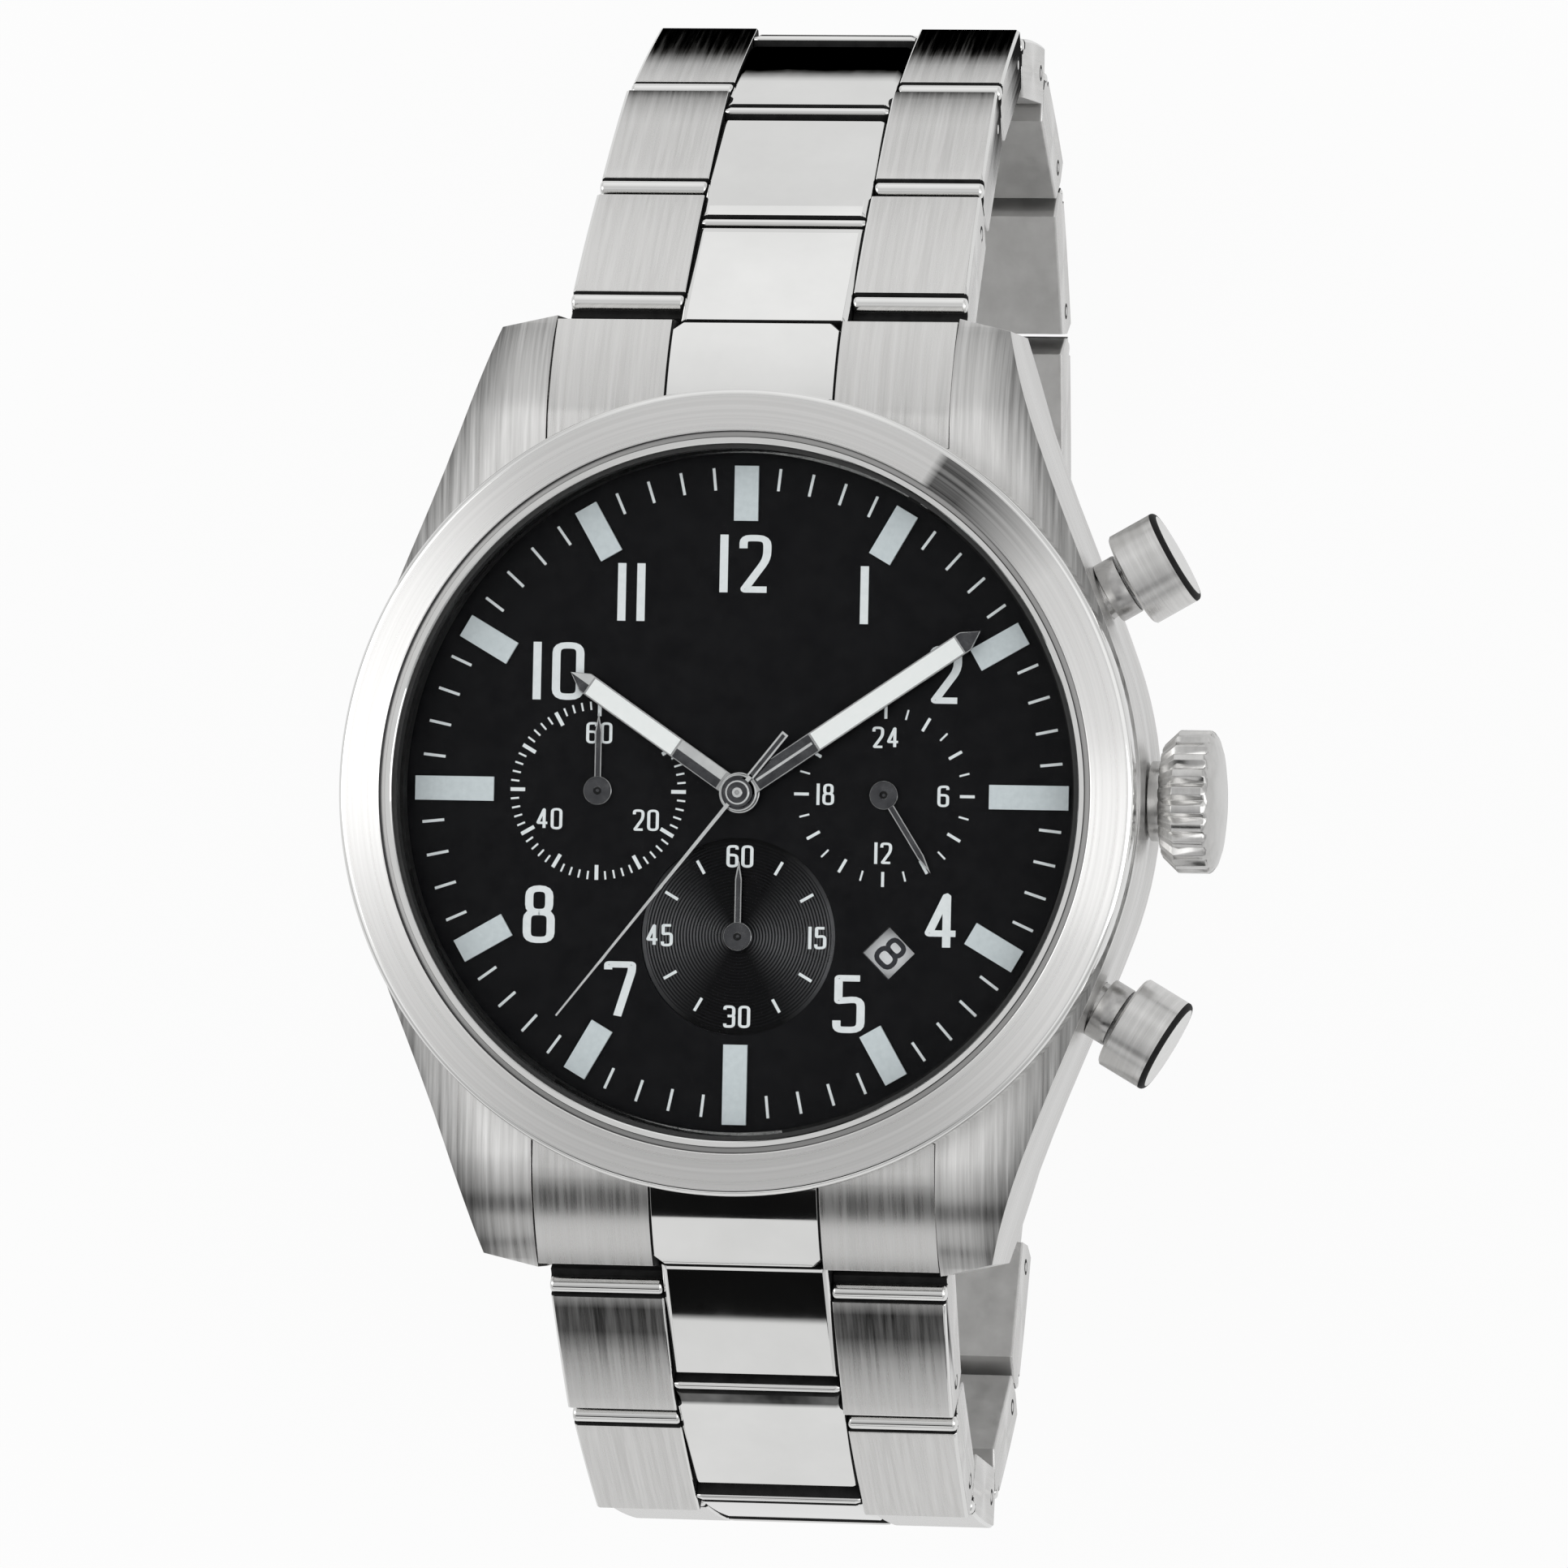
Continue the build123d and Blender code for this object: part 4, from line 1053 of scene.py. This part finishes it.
openPivot = middleOf("clasp_spring_bar")
for hour, side, count in (("12", 1, 7), ("6", -1, 5)):
    joints = [hingePlace(f"row_{hour}_{number}_hinge") for number in range(1, count + 1)]
    joints.append(openPivot if hour == "12" else hingePlace("clasp_cover_hinge"))
    for number, (start, end) in enumerate(zip(joints, joints[1:])):
        name = f"row_{hour}_{number + 1}"
        widths = linkValues["widths"][number : number + 2]
        last = hour == "12" and number == count - 1
        buildRow(name, start, end, side, widths, number == 0, last, linkValues)
print("bracelet built")

# clasp
edged("clasp_cover", "clasp_cover", ["brushedAlong"], "brushed_steel", 0.12, 3)
edged("clasp_fork_blade", "clasp_fork", ["polished"], "polished_steel", 0.06)
edged("clasp_inner_blade", "clasp_inner", ["polished"], "polished_steel", 0.06)
for handSide in ("left", "right"):
    name = f"clasp_button_{handSide}"
    edged(name, name, ["polished"], "polished_steel", 0.08)
print("clasp built")

# crown and pushers
crownValues = {
    "height": 4.9,
    "flutes": 24,
    "rim": 3.85,
    "depth": 0.42,
    "flat": 0.2,
    "ends": (25.65, 24.4),
}


def buildCrown(values):
    place = shifted(0, 0, values["height"]) @ Matrix.Rotation(pi / 2, 4, "Y")
    rim, depth, flat = values["rim"], values["depth"], values["flat"]
    # along the axis: (place, radius, depth of the flutes there), from the domed cap to the stem
    outside = [
        (25.63, 0.9, 0),
        (25.56, 2.1, 0),
        (25.42, 2.95, 0),
        (25.24, 3.5, 0),
        (25.04, rim - 0.08, depth * 0.35),
        (24.9, rim, depth),
        (23.3, rim, depth),
        (22.45, 3.05, depth * 0.8),
    ]
    # (place, radius) of the hollow for the case's tube, then of the stem's bore
    inside = [(22.45, 2.45), (23.9, 2.45), (23.9, 1.1), (22.85, 1.1), (22.85, 0.93), (22.25, 0.93)]
    inside += [(22.25, 1.1), (20.6, 1.1), (20.6, 0.62), (24.4, 0.62)]
    pitch = 2 * pi / values["flutes"]
    turns = []
    for k in range(values["flutes"]):
        turns += [(k * pitch, 1), ((k + 0.5 - flat) * pitch, 0), ((k + 0.5 + flat) * pitch, 0)]
    bm = bmesh.new()
    rings = []
    for along, radius, cut in outside + [(along, radius, 0) for along, radius in inside]:
        ring = []
        for turn, share in turns:
            reach = (radius - cut * share) * mm
            ring.append(bm.verts.new((reach * cos(turn), reach * sin(turn), along * mm)))
        rings.append(ring)
    for first, second in zip(rings, rings[1:]):
        for k in range(len(turns)):
            bm.faces.new((first[k - 1], first[k], second[k], second[k - 1]))
    for ring, along in zip((rings[0], rings[-1]), values["ends"]):
        centre = bm.verts.new((0, 0, along * mm))
        for k in range(len(turns)):
            bm.faces.new((ring[k - 1], ring[k], centre))
    bmesh.ops.transform(bm, matrix=place, verts=bm.verts)
    finishPiece("crown_finished", bm, "crown", ["crownSteel"], "polished_steel", ["crown"], 0.03, 2)


buildCrown(crownValues)

pusherValues = {
    "height": 4.9,
    "angle": 30,
    "capStart": 23.6,
    "capEnd": 26.55,
    "cap": 2.65,
    "hollow": 1.6,
    "bore": 1.95,
    "stem": 0.74,
    "stemStart": 16.3,
}


def buildPusher(hour, side, values):
    angle = radians(values["angle"]) * side
    way = Vector((cos(angle), sin(angle), 0))
    across = Vector((0, 0, 1)).cross(way)
    place = shifted(0, 0, values["height"]) @ axesTo(Vector((0, 0, 1)), across * -1, way)
    cap, start, end = values["cap"], values["capStart"], values["capEnd"]
    bore, stem, stemStart = values["bore"], values["stem"], values["stemStart"]
    dome = arcPoints((0.001, end), (1.3, end - 0.03), (cap - 0.28, end - 0.12), 6)
    edge = arcPoints((cap - 0.28, end - 0.12), (cap - 0.07, end - 0.20), (cap, end - 0.42), 5)
    # the cap is hollow, so that it clears its tube when pressed
    deep = start + values["hollow"]
    profile = [(0, end)] + dome[1:] + edge[1:] + [(cap, start + 0.12), (cap - 0.12, start)]
    profile += [(bore, start), (bore, deep), (stem, deep), (stem, stemStart), (0, stemStart)]
    bm = bmesh.new()
    lathe(bm, profile, steps=96)
    keepLocal(bm)
    # painted reflection: the cap's rounded edge takes the painted shadow and its dome a paler satin as a
    # painted highlight
    for face in bm.faces:
        middle = face.calc_center_median() / mm
        radius = middle.xy.length
        if middle.z > end - 0.42 and radius > cap - 0.34:
            face.material_index = 1
        elif middle.z > end - 0.2:
            face.material_index = 2
        elif radius < bore + 0.15 and middle.z < deep + 0.01:
            face.material_index = 3
    bmesh.ops.transform(bm, matrix=place, verts=bm.verts)
    node = f"pusher_{hour}"
    steels = ["turned", "paintedShadow", "paleSatinHighlight", "stemSteel"]
    finishPiece(node + "_finished", bm, node, steels, "polished_steel", [node])


for hour, side in (("2", 1), ("4", -1)):
    buildPusher(hour, side, pusherValues)
    edged(f"pusher_tube_{hour}", "head", ["turnedDark"], "steel_small_parts", 0.06)
edged("crown_tube", "head", ["turnedDark"], "steel_small_parts", 0.06)
print("crown and pushers built")

# dial; marks: (every so many steps, (inner, outer, width) or nothing), of which the first that fits counts
smallText = {"height": 1.15, "width": 0.64, "stroke": 0.13, "gap": 0.15, "corner": 0.16, "weight": 1.3}
dialValues = {
    "top": 8.5,
    "print": 0.015,
    "thick": 0.02,
    "text": {"height": 3.1, "width": 1.75, "stroke": 0.34, "gap": 0.60, "corner": 0.4, "weight": 1.32},
    "numerals": {
        "12": (0, 12.3),
        "11": (-6.2, 10.7),
        "1": (6.5, 10.7),
        "10": (-10.1, 6.4),
        "2": (11.0, 6.5),
        "4": (11.0, -6.7),
        "5": (6.1, -11.2),
        "7": (-6.4, -10.7),
        "8": (-10.9, -6.7),
    },
    "rim": {"centre": (0, 0), "count": 60, "marks": ((5, None), (1, (16.3, 17.5, 0.15))), "texts": ()},
    # sixty minutes at 9 o'clock
    "nine": {
        "centre": (-7.8, 0.0),
        "count": 60,
        "marks": ((5, (4.0, 4.8, 0.2)), (1, (4.35, 4.8, 0.1))),
        "texts": ("60", "20", "40"),
        "reach": (3.05, 3.1),
        "style": smallText,
    },
    # twenty-four hours at 3 o'clock
    "three": {
        "centre": (7.8, 0.0),
        "count": 24,
        "marks": ((6, (4.1, 4.9, 0.16)), (2, (4.0, 4.8, 0.16)), (1, (4.2, 4.75, 0.1))),
        "texts": ("24", "6", "12", "18"),
        "reach": (3.2, 3.1),
        "style": smallText,
    },
    # sixty seconds at 6 o'clock, on the sunk dial
    "six": {
        "centre": sunkCentre,
        "count": 12,
        "marks": ((3, None), (1, (3.85, 4.65, 0.16))),
        "texts": ("60", "15", "30", "45"),
        "reach": (4.3, 4.3),
        "style": {**smallText, "height": 1.2, "width": 0.66, "stroke": 0.14},
    },
    "sunk": 8.35,
    "sunkPrint": (0.03, 0.05),
}
grooveValues = {
    "centre": sunkCentre,
    "hub": (0.36, 8.370),
    "first": 3,
    "pitch": 0.17,
    "radius": 5.26,
    "low": 8.352,
    "cut": 8.353,
    "top": 8.372,
    "flatFacing": 0.99,
}
dateValues = {
    "window": (8.2, -8.44),
    "shown": 8,
    "turn": 45,
    "level": 7.88,
    "lines": {"stroke": 0.27, "gap": 0.16, "corner": 0.42},
    "oneFigure": {"height": 1.75, "width": 1.30},
    "twoFigures": {"height": 1.45, "width": 0.66},
}

# numerals as strokes in a box one wide and one high, with closed strokes ending where they start; a third
# number marks a corner that stays sharp
glyphs = {
    "0": [[(0, 0), (0, 1), (1, 1), (1, 0), (0, 0)]],
    "1": [[(0.5, 0), (0.5, 1)]],
    "2": [[(0, 0.80), (0, 1), (1, 1), (1, 0.60), (0.06, 0, 1), (1, 0)]],
    "3": [[(0, 0.85), (0, 1), (1, 1), (1, 0.53), (0.3, 0.53)], [(1, 0.53), (1, 0), (0, 0), (0, 0.15)]],
    "4": [[(0.74, 0), (0.74, 1, 1), (0, 0.27, 1), (1.12, 0.27)]],
    "5": [[(0.95, 1), (0.06, 1, 1), (0.06, 0.56, 1), (1, 0.60), (1, 0), (0, 0), (0, 0.18)]],
    "6": [[(1, 0.84), (1, 1), (0, 1), (0, 0), (1, 0), (1, 0.56), (0, 0.56)]],
    "7": [[(0, 0.90), (0, 1, 1), (1, 1, 1), (1, 0.88), (0.42, 0)]],
    "8": [
        [(0.08, 0.54), (0.08, 1), (0.92, 1), (0.92, 0.54), (0.08, 0.54)],
        [(0, 0), (0, 0.54), (1, 0.54), (1, 0), (0, 0)],
    ],
    "9": [[(0, 0.16), (0, 0), (1, 0), (1, 1), (0, 1), (0, 0.44), (1, 0.44)]],
}
sharpCorner = 0.04


def roundedPath(points, radius, closed):
    # the stroke with its corners rounded
    made = []
    count = len(points)
    for index, point in enumerate(points):
        here = Vector(point[:2])
        if not closed and index in (0, count - 1):
            made.append(here)
            continue
        before = Vector(points[index - 1][:2])
        after = Vector(points[(index + 1) % count][:2])
        wanted = sharpCorner if len(point) > 2 else radius
        reach = min(wanted, (before - here).length * 0.5, (after - here).length * 0.5)
        start = here + (before - here).normalized() * reach
        end = here + (after - here).normalized() * reach
        for k in range(5):
            t = k / 4
            made.append(start * (1 - t) ** 2 + here * 2 * t * (1 - t) + end * t**2)
    return made


def drawText(bm, text, centre, level, height, width, stroke, gap, corner, weight=1.0, turn=0.0):
    # strokes are swept as flat bands, each glyph from its centre lines; weight makes the upright ones wider
    width, gap = width / weight, gap / weight
    curve = bpy.data.curves.new("strokes", "CURVE")
    curve.dimensions = "3D"
    curve.bevel_depth = stroke / 2 * mm
    curve.bevel_resolution = 0
    curve.use_fill_caps = True
    spans = [stroke if glyph == "1" else width for glyph in text]
    at = -(sum(spans) + gap * (len(text) - 1)) / 2
    for glyph, span in zip(text, spans):
        for points in glyphs[glyph]:
            if glyph == "1":
                placed = [(at + stroke / 2, -height / 2 + point[1] * height) for point in points]
            else:
                inset = stroke / 2
                placed = []
                for x, y, *sharp in points:
                    across = at + inset + x * (span - stroke)
                    placed.append((across, -height / 2 + inset + y * (height - stroke), *sharp))
            closed = placed[0] == placed[-1]
            path = roundedPath(placed[:-1] if closed else placed, corner, closed)
            spline = curve.splines.new("POLY")
            spline.points.add(len(path) - 1)
            for target, point in zip(spline.points, path):
                target.co = (point.x * mm, point.y * mm, 0, 1)
            spline.use_cyclic_u = closed
        at += span + gap
    carrier = bpy.data.objects.new("strokes", curve)
    scene.collection.objects.link(carrier)
    bpy.context.view_layer.update()
    graph = bpy.context.evaluated_depsgraph_get()
    flat = bpy.data.meshes.new_from_object(carrier.evaluated_get(graph))
    start = len(bm.verts)
    bm.from_mesh(flat)
    bm.verts.ensure_lookup_table()
    made = bm.verts[start:]
    squeeze = Matrix.Diagonal((weight, 1, 0.04, 1))
    spin = Matrix.Rotation(turn, 4, "Z")
    bmesh.ops.transform(bm, matrix=shifted(*centre, level) @ spin @ squeeze, verts=made)
    bpy.data.objects.remove(carrier)
    bpy.data.curves.remove(curve)
    bpy.data.meshes.remove(flat)


def bar(bm, centre, angle, inner, outer, width, low, high):
    # a straight mark that points away from a centre; angle runs clockwise from 12
    way = Vector((sin(angle), cos(angle), 0))
    across = Vector((cos(angle), -sin(angle), 0))
    middle = Vector((centre[0], centre[1], 0)) + way * (inner + outer) / 2
    place = Matrix.Translation(Vector((middle.x, middle.y, (low + high) / 2)) * mm)
    place = place @ axesTo(across, way, Vector((0, 0, 1)))
    place = place @ Matrix.Diagonal((width * mm, (outer - inner) * mm, (high - low) * mm, 1))
    bmesh.ops.create_cube(bm, size=1, matrix=place)


def printRing(bm, values, low, high, level):
    # marks from low to high and numerals at a level, both clockwise from 12
    count, centre, texts = values["count"], values["centre"], values["texts"]
    for step in range(count):
        size = next(size for every, size in values["marks"] if step % every == 0)
        if size:
            bar(bm, centre, radians(360 * step / count), *size, low, high)
    for step, text in enumerate(texts):
        way = radians(360 * step / len(texts))
        across, along = values["reach"]
        place = (centre[0] + across * sin(way), centre[1] + along * cos(way))
        drawText(bm, text, place, level, **values["style"])


def buildPrint(values):
    low, high, level = values["top"], values["top"] + values["thick"], values["top"] + values["print"]
    marks = bmesh.new()
    printRing(marks, values["rim"], low, high, level)
    for text, place in values["numerals"].items():
        drawText(marks, text, place, level, **values["text"])
    printRing(marks, values["nine"], low, high, level)
    printRing(marks, values["three"], low, high, level)
    sunkLow, sunkHigh = [values["sunk"] + above for above in values["sunkPrint"]]
    printRing(marks, values["six"], sunkLow, sunkHigh, sunkHigh)
    finishPiece("dial_printing", marks, "head", ["print"], "marker_fill")


def buildGrooves(values):
    # fine turned grooves on the sunk dial
    bm = bmesh.new()
    radius, pitch = values["radius"], values["pitch"]
    low, cut, top = values["low"], values["cut"], values["top"]
    profile = [(values["hub"][0], low), values["hub"]]
    for k in range(values["first"], int(radius / pitch)):
        profile += [(k * pitch, top), (k * pitch + pitch * 0.5, top), (k * pitch + pitch * 0.75, cut)]
    profile += [(radius, top), (radius, low)]
    lathe(bm, profile, shifted(*values["centre"]), 96)

    def pick(face):
        # the flat tops of the rings shine, the cuts between them stay dark
        return 0 if face.normal.z > values["flatFacing"] else 1

    finishPiece("sunk_dial_grooves", bm, "head", ["grooves", "dial"], "black_dial", pick=pick)


def buildDates(values):
    # one date in the window and the rest round the disc
    bm = bmesh.new()
    at = Vector(values["window"])
    radius = at.length
    window = atan2(at.y, at.x)
    for day in range(1, 32):
        angle = window - (day - values["shown"]) * 2 * pi / 31
        place = (radius * cos(angle), radius * sin(angle))
        size = values["oneFigure"] if day < 10 else values["twoFigures"]
        turn = angle - window - radians(values["turn"])
        drawText(bm, str(day), place, values["level"], **size, **values["lines"], turn=turn)
    finishPiece("date_numbers", bm, "date_disc", ["dateInk"], "date_white")


buildPrint(dialValues)
buildGrooves(grooveValues)
buildDates(dateValues)
print("dial printed")

# hands, with angles clockwise from 12 and places along each hand in millimetres
# the hour hand's two facets are in light and dark steel, a painted highlight and a painted shade; the
# minute hand's light line along its middle is a painted highlight
handValues = {
    "hour_hand": {
        "angle": 304.2,
        "low": 8.92,
        "length": 11.3,
        "width": 1.15,
        "lume": (4.25, 9.95),
        "hub": 1.1,
        "rise": 0.10,
        "facets": ["handLight", "darkSteel"],
        "line": False,
    },
    "minute_hand": {
        "angle": 55.7,
        "low": 9.20,
        "length": 15.7,
        "width": 1.15,
        "lume": (5.0, 14.3),
        "hub": 1.0,
        "rise": 0.05,
        "facets": ["darkSteel", "darkSteel"],
        "line": True,
    },
}
batonValues = {
    "thick": 0.13,
    "point": 1.0,
    "lumeRim": 0.09,
    "facetRim": 0.06,
    "tipRise": 0.05,
    "lineHalf": 0.07,
}


def handPlace(angle, centre=(0, 0)):
    # x along the hand, y across it
    way = Vector((sin(radians(angle)), cos(radians(angle)), 0))
    across = Vector((0, 0, 1)).cross(way)
    return shifted(*centre) @ axesTo(way, across, Vector((0, 0, 1)))


def ridge(bm, stations, high, rise, place):
    # two facets that meet along the hand's middle; stations: (how far along, half width)
    sides = []
    for x, half in stations:
        edgeA = bm.verts.new((x * mm, -half * mm, high * mm))
        middle = bm.verts.new((x * mm, 0, (high + rise) * mm))
        edgeB = bm.verts.new((x * mm, half * mm, high * mm))
        sides.append((edgeA, middle, edgeB))
    for (a, b, c), (d, e, f) in zip(sides, sides[1:]):
        bm.faces.new((a, d, e, b)).material_index = 0
        bm.faces.new((b, e, f, c)).material_index = 1
        bm.faces.new((a, c, f, d)).material_index = 0
    for a, b, c in (sides[0], sides[-1]):
        bm.faces.new((a, b, c))
    bmesh.ops.transform(bm, matrix=place, verts=[v for side in sides for v in side])


def hubRings(bm, low, bands, place, steps=64):
    # a hub as a stack of flat rings: (outer radius, top, material index), from the middle outwards
    inside = 0.0
    for radius, top, index in bands:
        start = len(bm.faces)
        profile = [(inside, top), (radius - 0.02, top), (radius, top - 0.02), (radius, low), (inside, low)]
        lathe(bm, profile, place, steps)
        bm.faces.ensure_lookup_table()
        for face in bm.faces[start:]:
            face.material_index = index
        inside = radius


def pointed(start, shoulder, tip, half):
    # the outline of a straight hand with a pointed end
    return [(start, -half), (shoulder, -half), (tip, 0), (shoulder, half), (start, half)]


def addPlate(name, body, outlines, low, high, place, steels, slotName="hand_steel", *others):
    bm = bmesh.new()
    for outline in outlines:
        slab(bm, outline, low, high, place)
    finishPiece(name, bm, body, steels, slotName, *others)


def buildBaton(name, values):
    place = handPlace(values["angle"])
    half, length, low, hub = values["width"] / 2, values["length"], values["low"], values["hub"]
    high = low + batonValues["thick"]
    start, end = values["lume"]
    shoulder = length - batonValues["point"]
    outline = pointed(0, shoulder, length, half)
    others = ("hand_steel", [name], 0.03, 1)
    addPlate(name + "_blade", name, [outline], low, high, place, ["handSteel"], *others)
    outline = straight(start, end, half - batonValues["lumeRim"])
    addPlate(name + "_lume", name, [outline], high - 0.02, high + 0.02, place, ["handLume"], "marker_fill")
    facets = bmesh.new()
    edge = half - batonValues["facetRim"]
    ridge(facets, [(hub + 0.1, edge), (start - 0.12, edge)], high, values["rise"], place)
    tip = [(end + 0.1, edge), (shoulder, edge), (length - 0.08, 0.02)]
    ridge(facets, tip, high, batonValues["tipRise"], place)
    finishPiece(name + "_facets", facets, name, values["facets"], "hand_steel")
    # a painted highlight along the middle of the hand
    if values["line"]:
        outline = straight(hub + 0.2, start - 0.2, batonValues["lineHalf"])
        addPlate(name + "_painted_highlight", name, [outline], high, high + 0.06, place, ["handLight"])
    rim = bmesh.new()
    hubRings(rim, low, [(hub - 0.08, high, 1), (hub, high + 0.015, 0)], place)
    finishPiece(name + "_hub", rim, name, ["handLight", "darkSteel"], "hand_steel")


# the bands of a hub: (outer radius, height above the hand, place in the list of steels)
secondsValues = {
    "angle": 218.5,
    "heights": (9.48, 9.60),
    "blade": [(-1.2, -0.11), (15.5, -0.05), (15.5, 0.05), (-1.2, 0.11)],
    "tail": (-4.1, -1.1, 0.2),
    "tailInlay": (-3.98, -1.2, 0.1),
    "bands": [(0.13, 0.08, 2), (0.28, 0.10, 0), (0.56, 0.03, 1), (0.66, 0.05, 0), (0.80, 0.02, 1)],
}
smallHandValues = {
    "heights": (8.62, 8.73),
    "width": 0.36,
    "inlayStart": 0.75,
    "inlayRim": 0.06,
    "bands": [(0.10, 0.03, 2), (0.22, 0.01, 1), (0.74, 0.03, 2), (0.77, 0.02, 0)],
    # the dial each turns on, its angle and its length
    "hands": {
        "hand_24h": ("three", 147.6, 4.9),
        "elapsed_minutes_hand": ("nine", 0, 4.2),
        "elapsed_seconds_hand": ("six", 0, 4.1),
    },
}


def addInlay(name, body, outline, high, place):
    # a dark plate let into a hand's top
    addPlate(name, body, [outline], high - 0.01, high + 0.012, place, ["darkSteel"])


def addCap(name, bands, heights, place, body, steels, steps=64):
    low, high = heights
    bm = bmesh.new()
    hubRings(bm, low, [(radius, high + above, index) for radius, above, index in bands], place, steps)
    finishPiece(name, bm, body, steels, "hand_steel")


def buildSeconds(values):
    place = handPlace(values["angle"])
    low, high = values["heights"]
    body = "seconds_hand"
    outlines = [values["blade"], straight(*values["tail"])]
    addPlate(body + "_blade", body, outlines, low, high, place, ["handLight"], "hand_steel", [body])
    addInlay(body + "_tail", body, straight(*values["tailInlay"]), high, place)
    steels = ["handLight", "darkSteel", "handSteel"]
    addCap(body + "_cap", values["bands"], values["heights"], place, body, steels)


def buildSmall(name, centre, angle, length, values):
    place = handPlace(angle, centre)
    low, high = values["heights"]
    half = values["width"] / 2
    outline = pointed(0, length - 1.0, length, half)
    addPlate(name + "_blade", name, [outline], low, high, place, ["handSteel"], "hand_steel", [name])
    inlay = pointed(values["inlayStart"], length - 1.05, length - 0.4, half - values["inlayRim"])
    addInlay(name + "_middle", name, inlay, high, place)
    steels = ["handSteel", "paintedShadow", "darkSteel"]
    addCap(name + "_cap", values["bands"], values["heights"], place, name, steels, 48)


for name, values in handValues.items():
    buildBaton(name, values)
buildSeconds(secondsValues)
for name, (dial, angle, length) in smallHandValues["hands"].items():
    buildSmall(name, dialValues[dial]["centre"], angle, length, smallHandValues)
print("hands built")

# finishes of the CAD nodes that show as they are
nodeFinishes = {
    "dial": ["dial"],
    "lume": ["hour_markers"],
    "dateWhite": ["date_disc"],
    "rubber": ["crystal_gasket", "case_back_gasket", "crown_gasket"],
    "ring": ["movement_ring"],
    "gilt": ["movement_plate"],
    "board": ["circuit_board"],
    "copper": ["motor_coils"],
    "wire": ["pusher_spring_2", "pusher_spring_4"],
    "satin": [
        "battery",
        "battery_clamp",
        "crown_stem",
        "pusher_clip_2",
        "pusher_clip_4",
        "lug_spring_bars",
        "end_link_pins",
        "clasp_cover_pins",
        "clasp_fold_pin",
        "clasp_spring_bar",
    ],
}
for label, nodes in nodeFinishes.items():
    for node in nodes:
        target = frame["nodes"][node]
        if not target.material_slots:
            target.data.materials.append(finishes[label])
        for holder in target.material_slots:
            holder.material = finishes[label]
print("CAD nodes finished")
